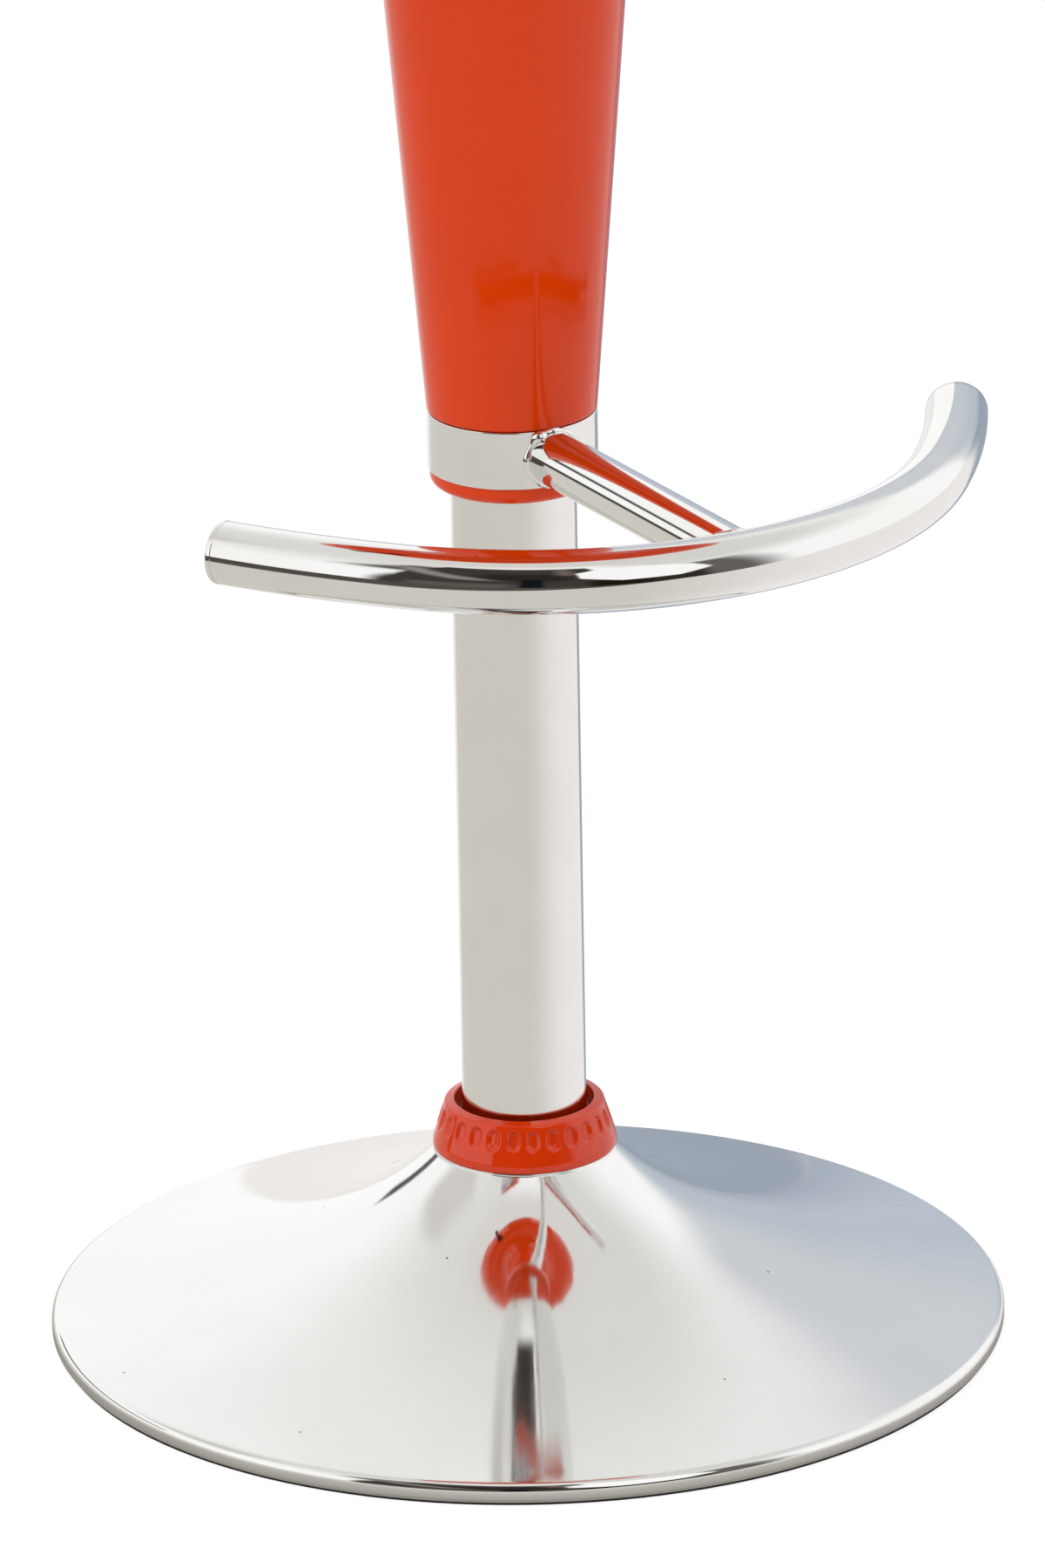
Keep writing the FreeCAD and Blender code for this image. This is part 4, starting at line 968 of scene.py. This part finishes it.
@dataclass
class LeverSlot:
    """The slot in the tub's underside that the height lever swings in.

    Places are along X, and the swing is in degrees.
    """

    pivot_place: float = -25.0
    lug_radius: float = 6.5
    bend_place: float = -69.0
    tip_place: float = -170.0
    tip_drop: float = 66.0
    swing: float = 8.0
    play: float = 8.0
    width: float = 24.0
    search_share: float = 1.5

    def outline(self) -> list[Vector]:
        """Work out the slot's shape from the side, round the lever at rest and lifted, with some play.

        Returns:
            The four corners.
        """
        pivot = Vector((self.pivot_place, 0.0, extent("lever_rod")[1].z - self.lug_radius))
        bend = Vector((self.bend_place, 0.0, pivot.z))
        tip = Vector((self.tip_place, 0.0, pivot.z - self.tip_drop))
        lifted = Matrix.Rotation(math.radians(self.swing), 3, "Y")
        play = UP * self.play
        return [bend - play, tip - play, pivot + lifted @ (tip - pivot) + play,
                pivot + lifted @ (bend - pivot) + play]

    def planes(self) -> list[tuple[Vector, Vector]]:
        """Work out the planes that bound the slot.

        Returns:
            A place on each plane, and its normal away from the slot.
        """
        outline = self.outline()
        planes = [(Vector((0, side * self.width / 2, 0)), Vector((0, side, 0))) for side in (1, -1)]
        for start, stop in zip(outline, outline[1:] + outline[:1]):
            way = stop - start
            planes.append((start, Vector((way.z, 0, -way.x)).normalized()))
        middle = sum(outline, Vector()) / len(outline)
        return [(place, normal if (middle - place).dot(normal) < 0 else -normal) for place, normal in planes]

    def open(self, mesh: BMesh, ceiling: float) -> None:
        """Cut the slot through both faces of the tub's wall, and close its own sides.

        Args:
            mesh: The tub's mesh.
            ceiling: The height that the slot stays under.
        """
        planes = self.planes()

        def near(face: BMFace) -> bool:
            """Whether a face lies where the slot can meet it.

            Args:
                face: The face.

            Returns:
                True where it does.
            """
            centre = face.calc_center_median()
            beside = abs(centre.y) < self.width * self.search_share
            return centre.x < self.bend_place and beside and centre.z < ceiling

        for place, normal in planes:
            faces = [face for face in mesh.faces if near(face)]
            edges = {edge for face in faces for edge in face.edges}
            verts = {vert for face in faces for vert in face.verts}
            bmesh.ops.bisect_plane(mesh, geom=faces + list(edges) + list(verts), plane_co=place,
                                   plane_no=normal, dist=MERGE_DISTANCE)
        gone = [face for face in mesh.faces if near(face) and all(
            (face.calc_center_median() - place).dot(normal) < 0 for place, normal in planes)]
        bmesh.ops.delete(mesh, geom=gone, context="FACES")
        bmesh.ops.bridge_loops(mesh, edges=[edge for edge in mesh.edges if edge.is_boundary])
        bmesh.ops.recalc_face_normals(mesh, faces=mesh.faces)


@dataclass
class Seat:
    """The outer moulding, which is cone and tub in one, and the inner pan that is sat on."""

    wall: float = 3.5
    fit_gap: float = 0.1
    pan_wall: float = 4.0
    pan_floor: float = 5.0
    plate_thickness: float = 3.0
    cone_lip: float = 1.6
    cone_spread_share: float = 0.0803
    elbow_radius: float = 184.0
    elbow_inset_share: float = 0.95
    elbow_lift_share: float = 0.69
    wall_spread_share: float = 0.051
    wall_start_gap: float = 4.0
    bend_setback: float = 66.7
    neck_below_seat: float = 107.0
    elbow_below_seat: float = 56.0
    front_rise: float = 37.0
    back_rise: float = 165.0
    dish: float = 12.0
    pan_corner: float = 27.0
    front_share: float = 0.275
    back_share: float = 0.524
    bend_share: float = 0.31
    scoop_overreach: float = 5.0
    edge: float = 2.4
    steps: int = 216
    bend_segments: int = 18
    wall_rows: int = 14
    boss_radius: float = 7.5
    boss_spacing: float = 96.0
    boss_segments: int = 48
    slot: LeverSlot = field(default_factory=LeverSlot)
    cone_bottom: float = field(init=False)
    rim_top: float = field(init=False)
    rim_band: float = field(init=False)
    front_rim: float = field(init=False)
    seat: float = field(init=False)
    neck: float = field(init=False)
    elbow: float = field(init=False)
    scoop_foot: float = field(init=False)
    scoop_reach: float = field(init=False)

    def __post_init__(self) -> None:
        """Work out the heights from the frame."""
        self.cone_bottom = extent("seat_shell")[0].z
        self.rim_top = extent("seat_shell")[1].z
        self.rim_band = self.rim_top - self.edge * 2
        self.seat = self.rim_top - self.back_rise
        self.neck = self.seat - self.neck_below_seat
        self.elbow = self.seat - self.elbow_below_seat
        self.front_rim = self.seat + self.front_rise
        self.scoop_foot = self.elbow + self.bend_setback
        self.scoop_reach = self.wall_radius(self.rim_top) + self.scoop_overreach

    def wall_radius(self, height: float) -> float:
        """The tub's outer radius at that height."""
        return self.elbow_radius + (height - self.elbow) * self.wall_spread_share

    def rim_height(self, y: float) -> float:
        """How high the rim is: low at the front and high at the back, with round bends between.

        Args:
            y: How far back along Y.

        Returns:
            The rim's height.
        """
        start = -self.scoop_reach * self.front_share
        stop = self.scoop_reach * self.back_share
        setback = self.scoop_reach * self.bend_share
        rise = self.rim_top - self.front_rim
        slope = rise / (stop - start)
        incline = math.atan(slope)
        radius = setback / math.tan(incline / 2)
        reach = setback * math.cos(incline)
        if y < start - setback:
            return self.front_rim
        if y < start + reach:
            return self.front_rim + radius - math.sqrt(radius ** 2 - (y - start + setback) ** 2)
        if y < stop - reach:
            return self.front_rim + (y - start) * slope
        if y < stop + setback:
            return self.rim_top - radius + math.sqrt(radius ** 2 - (stop + setback - y) ** 2)
        return self.rim_top

    def scooped(self, point: Vector) -> Vector:
        """Where a point of the straight-rimmed tub goes when the rim is scooped.

        Args:
            point: The point.

        Returns:
            Its new place.
        """
        if point.z <= self.scoop_foot:
            return point
        drop = self.rim_top - self.rim_height(point.y)
        share = min(1.0, (point.z - self.scoop_foot) / (self.rim_band - self.scoop_foot))
        height = point.z - drop * share
        radius = math.hypot(point.x, point.y)
        scale = 1 + (height - point.z) * self.wall_spread_share / radius
        return Vector((point.x * scale, point.y * scale, height))

    def wall_run(self, radius_at: Callable[[float], float], low: float) -> list[tuple[float, float]]:
        """Points up a wall to just under the rim.

        Args:
            radius_at: The wall's radius at a height.
            low: The height where the points start.

        Returns:
            The radius and height of each.
        """
        rise = self.rim_band - low
        heights = [low + rise * step / self.wall_rows for step in range(self.wall_rows + 1)]
        return [(radius_at(height), height) for height in heights]

    def build(self) -> None:
        """Build the seat's two mouldings."""
        self.build_shell()
        self.build_pan()

    def build_shell(self) -> None:
        """Spin cone and tub in one, scoop the rim and open the lever's slot."""
        collar = extent("footrest_collar")[1].x
        neck_radius = collar + (self.neck - self.cone_bottom) * self.cone_spread_share
        shift = self.wall * self.elbow_inset_share
        lift = self.wall * self.elbow_lift_share
        neck_bend, elbow_bend = self.bend_radii(neck_radius)
        wall_start = self.scoop_foot + self.wall_start_gap
        rim_radius = self.wall_radius(self.rim_top)
        inner = self.wall_run(lambda height: self.wall_radius(height) - self.wall, wall_start)
        section = Section().to(collar - self.wall, self.cone_bottom)
        section.to(collar, self.cone_bottom, self.cone_lip, segments=LIP_SEGMENTS)
        section.to(neck_radius, self.neck, neck_bend, segments=self.bend_segments)
        section.to(self.elbow_radius, self.elbow, elbow_bend, segments=self.bend_segments)
        section.run(self.wall_run(self.wall_radius, wall_start))
        section.to(rim_radius, self.rim_top, self.edge, segments=LIP_SEGMENTS)
        section.to(rim_radius - self.wall, self.rim_top)
        section.run(reversed(inner))
        section.to(self.elbow_radius - shift, self.elbow + lift, elbow_bend, segments=self.bend_segments)
        section.to(neck_radius - shift, self.neck + lift, neck_bend, segments=self.bend_segments)
        mesh = section.spun(self.steps)
        move_points(mesh, self.scooped)
        self.slot.open(mesh, self.scoop_foot)
        make_piece("tub_shell", mesh, ABS, Body.SEAT, ["seat_shell"])

    def bend_radii(self, neck_radius: float) -> tuple[float, float]:
        """The radii whose tangent arcs start the setback away from the neck and elbow corners.

        Args:
            neck_radius: The cone's radius at the neck.

        Returns:
            The neck's radius of bend and the elbow's.
        """
        flare = math.atan2(self.elbow - self.neck, self.elbow_radius - neck_radius)
        cone = math.atan2(1.0, self.cone_spread_share)
        side = math.atan2(1.0, self.wall_spread_share)
        return (self.bend_setback / math.tan((cone - flare) / 2),
                self.bend_setback / math.tan((side - flare) / 2))

    def build_pan(self) -> None:
        """Spin the pan, scoop its rim and stand the screw bosses under it."""
        def outside(height: float) -> float:
            """The pan's outer radius at a height."""
            return self.wall_radius(height) - self.wall - self.fit_gap

        def inside(height: float) -> float:
            """The pan's inner radius at a height."""
            return outside(height) - self.pan_wall

        corner = self.seat + self.dish
        under = corner - self.pan_floor
        steep = math.atan2(1.0, self.wall_spread_share)
        flat = math.atan2(self.dish, inside(corner))
        turn = 1 / math.tan((steep - flat) / 2)
        wall_start = corner + self.pan_corner + self.wall_start_gap
        section = Section().to(0.0, self.seat - self.pan_floor)
        section.to(outside(under), under, (self.pan_corner + self.pan_wall / 2) * turn, self.bend_segments)
        section.run(self.wall_run(outside, wall_start))
        section.to(outside(self.rim_top), self.rim_top)
        section.to(inside(self.rim_top), self.rim_top, self.edge, segments=LIP_SEGMENTS)
        section.run(reversed(self.wall_run(inside, wall_start)))
        section.to(inside(corner), corner, self.pan_corner * turn, segments=self.bend_segments)
        section.to(0.0, self.seat)
        mesh = section.spun(self.steps, closed=False)
        move_points(mesh, self.scooped)
        bottom = extent("mechanism_plate")[0].z + self.plate_thickness
        height = self.seat - self.pan_floor / 2 - bottom
        half = self.boss_spacing / 2
        for x in (-half, half):
            for y in (-half, half):
                place = Matrix.Translation((x, y, bottom + height / 2))
                bmesh.ops.create_cone(mesh, cap_ends=True, segments=self.boss_segments, depth=height,
                                      radius1=self.boss_radius, radius2=self.boss_radius, matrix=place)
        make_piece("seat_bowl", mesh, ABS, Body.SEAT, ["seat_pan"])


@dataclass(frozen=True)
class Patch:
    """A part of the studio that glossy things mirror, in degrees from the camera's side.

    Soft is how wide its edges fade out, fade is the same for its right edge where that differs, and
    slant is how far it leans to a side with each degree of height.
    """

    left: float
    right: float
    bottom: float
    top: float
    colour: str
    soft: float = 2.0
    fade: float = 0.0
    slant: float = 0.0


@dataclass(frozen=True)
class Softbox:
    """An eight-sided white lamp face that glossy things mirror, in degrees from the camera's side."""

    side: float = 28.0
    height: float = 36.5
    half_width: float = 18.5
    half_height: float = 22.0
    soft_share: float = 0.07
    colour: str = "FAFAFA"


@dataclass(frozen=True)
class FloorTint:
    """A sector of the mirrored floor, round a side in degrees from the camera's side.

    Edge is where it starts, as the cosine of the angle from its middle, and soft is how wide that edge is.
    """

    side: float
    edge: float
    soft: float
    colour: str


@dataclass(frozen=True)
class Lamp:
    """A soft square lamp: its place in degrees from the camera's side and metres, and its watts."""

    name: str
    side: float
    height: float
    power: float
    distance: float = 3.2
    width: float = 2.4
    target_height: float = 0.4


@dataclass
class Studio:
    """A pale floor and plain soft light, with the dark and bright things that chrome mirrors.

    Its sizes are in metres.
    """

    facing: float
    floor_radius: float = 60.0
    floor_segments: int = 96
    floor_colour: str = "F6F6F6"
    glow_share: float = 0.68
    plain_level: float = 0.8
    mirror_level: float = 1.18
    wall_colour: str = "F7F7F6"
    near_floor: str = "CBC8C1"
    # painted shadow: the floor that chrome mirrors is darkened to this grey within this reach of the axis,
    # where the base shades it
    painted_contact_shadow: str = "8E8984"
    painted_shadow_reach: float = 0.203
    painted_shadow_soft: float = 0.024
    past_floor: str = "4E4945"
    front_edge_side: float = -53.0
    front_edge_distance: float = 1.5
    front_edge_soft: float = 0.35
    softbox: Softbox = Softbox()
    lamps: tuple[Lamp, ...] = (Lamp("key", -55.0, 48.0, 36.0), Lamp("fill", 60.0, 30.0, 12.0))
    floor_tints: tuple[FloorTint, ...] = (
        # paler to the right, in the wall's light right behind, and cool towards the daylight
        FloorTint(115.0, 0.4, 1.3, "EAE6E5"),
        FloorTint(-170.0, 0.92, 0.08, "E6E3E1"),
        FloorTint(161.0, 0.97, 0.03, "969FAC"),
    )
    patches: tuple[Patch, ...] = (
        # the walls grow greyer upwards, and the ceiling is a warm light grey
        Patch(-230, -30, 47, 120, "D9D8D5", 42.0),
        Patch(30, 230, 46, 120, "D4D4D1", 28.0),
        Patch(-230, 230, 70, 120, "D5D1CD", 10.0),
        # a warm grey panel to the left
        Patch(-124, -82, 34, 58, "CDCAC6", 12.0),
        # cool daylight low behind the stool, darker towards the ground
        Patch(147, 230, -60, 40, "C9CCD1", 14.0),
        Patch(149, 230, -60, 17, "B5BEC9", 16.0),
        Patch(150, 230, -60, 1, "8F99A7", 14.0),
        # a rail on the left wall
        Patch(-152, -96, 12.5, 17.5, "5A5857", 2.5),
        # the dark room beside and behind the camera
        Patch(-53, -34, 40, 60, "5C5753", 8.0),
        Patch(-42, 17, -8, 64, "3D3835", 3.0),
        Patch(12, 47, -8, 24, "2E2A26", 5.0),
        Patch(43, 62, -8, 47, "625E5B", 6.0, fade=16.0),
        Patch(-36, -9, -8, 12, "5A5552", 7.0),
        Patch(-20, 8, 22, 46, "2B2623", 12.0),
        Patch(-38, -28, 24, 54, "8A8580", 9.0, slant=-1.0),
        Patch(4, 9, 40, 62, "6E625A", 6.0),
        Patch(-6.5, -0.5, -8, 27, "12161A", 2.0),
        Patch(12, 27, -8, 16, "1B1810", 6.0),
    )

    def build(self) -> None:
        """Build the world, the floor and the lamps."""
        self.build_world()
        self.build_floor()
        for lamp in self.lamps:
            self.build_lamp(lamp)

    @staticmethod
    def patch_share(tree: NodeTree, patch: Patch, azimuth: NodeSocket, elevation: NodeSocket) -> NodeSocket:
        """How much of a patch shows in each direction.

        Args:
            tree: The world's node tree.
            patch: The patch.
            azimuth: The direction's azimuth in radians.
            elevation: Its elevation in radians.

        Returns:
            The share's socket.
        """
        left, right, bottom, top, soft, fade = (math.radians(number) for number in (
            patch.left, patch.right, patch.bottom, patch.top, patch.soft, patch.fade or patch.soft))
        above = work_out(tree, "SUBTRACT", elevation, (bottom + top) / 2)
        along = work_out(tree, "SUBTRACT", azimuth, work_out(tree, "MULTIPLY", above, patch.slant))
        return work_out(tree, "MULTIPLY",
                        soft_step(tree, along, left, soft), soft_step(tree, along, right, -fade),
                        soft_step(tree, elevation, bottom, soft), soft_step(tree, elevation, top, -soft))

    def softbox_share(self, tree: NodeTree, azimuth: NodeSocket, elevation: NodeSocket) -> NodeSocket:
        """How much of the soft box shows in each direction.

        Args:
            tree: The world's node tree.
            azimuth: The direction's azimuth in radians.
            elevation: Its elevation in radians.

        Returns:
            The share's socket.
        """
        box = self.softbox
        offsets = []
        for angle, middle, half in ((azimuth, box.side, box.half_width),
                                    (elevation, box.height, box.half_height)):
            away = work_out(tree, "SUBTRACT", angle, math.radians(middle))
            offsets.append(work_out(tree, "DIVIDE", work_out(tree, "ABSOLUTE", away), math.radians(half)))
        across = work_out(tree, "MULTIPLY", work_out(tree, "ADD", *offsets), math.sqrt(0.5))
        return soft_step(tree, work_out(tree, "MAXIMUM", across, *offsets), 1.0, -box.soft_share)

    @staticmethod
    def gloss_share(tree: NodeTree) -> NodeSocket:
        """1 where a mirrored or refracted ray looks, and 0 elsewhere."""
        path = add_node(tree, "ShaderNodeLightPath").outputs
        return work_out(tree, "MAXIMUM", path["Is Glossy Ray"], path["Is Transmission Ray"])

    def build_world(self) -> None:
        """White to the camera, plain light on matt things, and the studio's pattern on glossy ones."""
        world = bpy.data.worlds.new("studio")
        bpy.context.scene.world = world
        world.use_nodes = True
        # matt things get even light from every side, so no bright part of the world needs to be sought
        world.cycles.sampling_method = "NONE"
        tree = world.node_tree
        tree.nodes.clear()
        way = add_node(tree, "ShaderNodeTexCoord").outputs["Generated"]
        turned = add_node(tree, "ShaderNodeVectorRotate", {
            "Vector": way, "Angle": -math.radians(self.facing)}, rotation_type="Z_AXIS")
        parts = add_node(tree, "ShaderNodeSeparateXYZ", {0: turned.outputs["Vector"]})
        towards = work_out(tree, "MULTIPLY", parts.outputs["Y"], -1.0)
        azimuth = work_out(tree, "ARCTAN2", parts.outputs["X"], towards)
        elevation = work_out(tree, "ARCSINE", parts.outputs["Z"])
        seen = add_node(tree, "ShaderNodeRGB").outputs["Color"]
        seen.default_value = linear(self.wall_colour)
        for patch in self.patches:
            seen = blend(tree, self.patch_share(tree, patch, azimuth, elevation), seen, patch.colour)
        seen = blend(tree, self.softbox_share(tree, azimuth, elevation), seen, self.softbox.colour)
        plain, mirrored, white = (
            add_node(tree, "ShaderNodeBackground", {"Color": colour, "Strength": level}).outputs[0]
            for colour, level in ((linear(WHITE), self.plain_level), (seen, self.mirror_level),
                                  (linear(WHITE), 1.0)))
        lit = add_node(tree, "ShaderNodeMixShader", {0: self.gloss_share(tree), 1: plain, 2: mirrored})
        looked = add_node(tree, "ShaderNodeLightPath").outputs["Is Camera Ray"]
        shown = add_node(tree, "ShaderNodeMixShader", {0: looked, 1: lit.outputs[0], 2: white})
        add_node(tree, "ShaderNodeOutputWorld", {"Surface": shown.outputs[0]})

    def mirrored_floor(self, tree: NodeTree) -> NodeSocket:
        """The floor's colour as chrome mirrors it: tinted by side, shaded under the base, dark past its edge.

        Args:
            tree: The floor's node tree.

        Returns:
            The colour's socket.
        """
        def reach(vector: NodeSocket, side: float) -> NodeSocket:
            """How far a vector goes towards that side of the camera's side, in degrees."""
            way = direction(self.facing + side, 0.0)
            return add_node(tree, "ShaderNodeVectorMath", {0: vector, 1: way},
                            operation="DOT_PRODUCT").outputs["Value"]

        place = add_node(tree, "ShaderNodeTexCoord").outputs["Object"]
        outward = add_node(tree, "ShaderNodeVectorMath", {0: place}, operation="NORMALIZE").outputs["Vector"]
        away = add_node(tree, "ShaderNodeVectorMath", {0: place}, operation="LENGTH").outputs["Value"]
        seen = add_node(tree, "ShaderNodeRGB").outputs["Color"]
        seen.default_value = linear(self.near_floor)
        for tint in self.floor_tints:
            share = soft_step(tree, reach(outward, tint.side), tint.edge, tint.soft)
            seen = blend(tree, share, seen, tint.colour)
        # painted shadow under the base, on the floor that chrome mirrors
        shade = soft_step(tree, away, self.painted_shadow_reach, -self.painted_shadow_soft)
        seen = blend(tree, shade, seen, self.painted_contact_shadow)
        past = soft_step(tree, reach(place, self.front_edge_side), self.front_edge_distance,
                         self.front_edge_soft)
        return blend(tree, past, seen, self.past_floor)

    def build_floor(self) -> None:
        """A wide pale floor that glows white where it is looked at, and keeps a soft shadow."""
        mesh = bmesh.new()
        bmesh.ops.create_circle(mesh, cap_ends=True, radius=self.floor_radius, segments=self.floor_segments)
        data = bpy.data.meshes.new("floor")
        mesh.to_mesh(data)
        mesh.free()
        material = bpy.data.materials.new("painted_studio_floor")
        material.use_nodes = True
        tree = material.node_tree
        tree.nodes.clear()
        gloss = self.gloss_share(tree)
        looked = add_node(tree, "ShaderNodeLightPath").outputs["Is Camera Ray"]
        share = work_out(tree, "MAXIMUM", gloss, work_out(tree, "MULTIPLY", looked, self.glow_share))
        paint = add_node(tree, "ShaderNodeBsdfDiffuse", {"Color": linear(self.floor_colour)})
        glow = add_node(tree, "ShaderNodeEmission", {
            "Color": blend(tree, gloss, WHITE, self.mirrored_floor(tree)), "Strength": self.mirror_level})
        mixed = add_node(tree, "ShaderNodeMixShader", {0: share, 1: paint.outputs[0], 2: glow.outputs[0]})
        add_node(tree, "ShaderNodeOutputMaterial", {"Surface": mixed.outputs[0]})
        data.materials.append(material)
        add_object("floor", data)

    def build_lamp(self, lamp: Lamp) -> None:
        """Stand a soft lamp in the studio, facing the stool.

        Args:
            lamp: The lamp.
        """
        light = bpy.data.lights.new(lamp.name, "AREA")
        light.size = lamp.width
        light.energy = lamp.power
        item = add_object(lamp.name, light)
        away = direction(self.facing + lamp.side, lamp.height)
        item.location = away * lamp.distance + UP * lamp.target_height
        item.rotation_euler = away.to_track_quat("Z", "Y").to_euler()
        item.visible_glossy = False


@dataclass
class Viewpoint:
    """The camera, as the photograph's outlines place it, in degrees, metres and millimetres of lens."""

    facing: float = -28.65
    elevation: float = 19.895
    roll: float = -1.02
    distance: float = 4.7119
    target_height: float = 0.2296
    sideways: float = 0.00153
    lens: float = 271.82
    clip_end: float = 100.0

    def build(self) -> None:
        """Make the scene's camera."""
        roll = math.radians(self.roll)
        back = direction(self.facing, self.elevation)
        right = direction(self.facing + 90.0, 0.0)
        up = back.cross(right)
        target = right * self.sideways + UP * self.target_height
        across = right * math.cos(roll) + up * math.sin(roll)
        upright = up * math.cos(roll) - right * math.sin(roll)
        camera = bpy.data.cameras.new("camera")
        camera.lens = self.lens
        camera.clip_end = self.clip_end
        item = add_object("camera", camera)
        item.matrix_world = Matrix.Translation(target + back * self.distance) @ Matrix(
            (across, upright, back)).transposed().to_4x4()
        bpy.context.scene.camera = item


def dress_nodes() -> None:
    """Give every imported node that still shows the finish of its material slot."""
    for part in frame["record"]["subparts"]:
        node = frame["nodes"][part["node"]]
        if node.hide_render:
            continue
        node.data.materials.clear()
        node.data.materials.append(material_of(FINISHES[part["material_slot"]]))
        log.info("%s: packed piece in %s", part["node"], part["material_slot"])


def main() -> None:
    """Build the stool, its studio and the camera."""
    logging.basicConfig(level=logging.INFO, format="%(name)s %(message)s")
    view = Viewpoint()
    for assembly in (Base(), Column(), Collar(), Footrest(), Seat(), Studio(view.facing), view):
        assembly.build()
    dress_nodes()
    bpy.context.scene.view_settings.view_transform = "Standard"


if __name__ == "__main__":
    main()
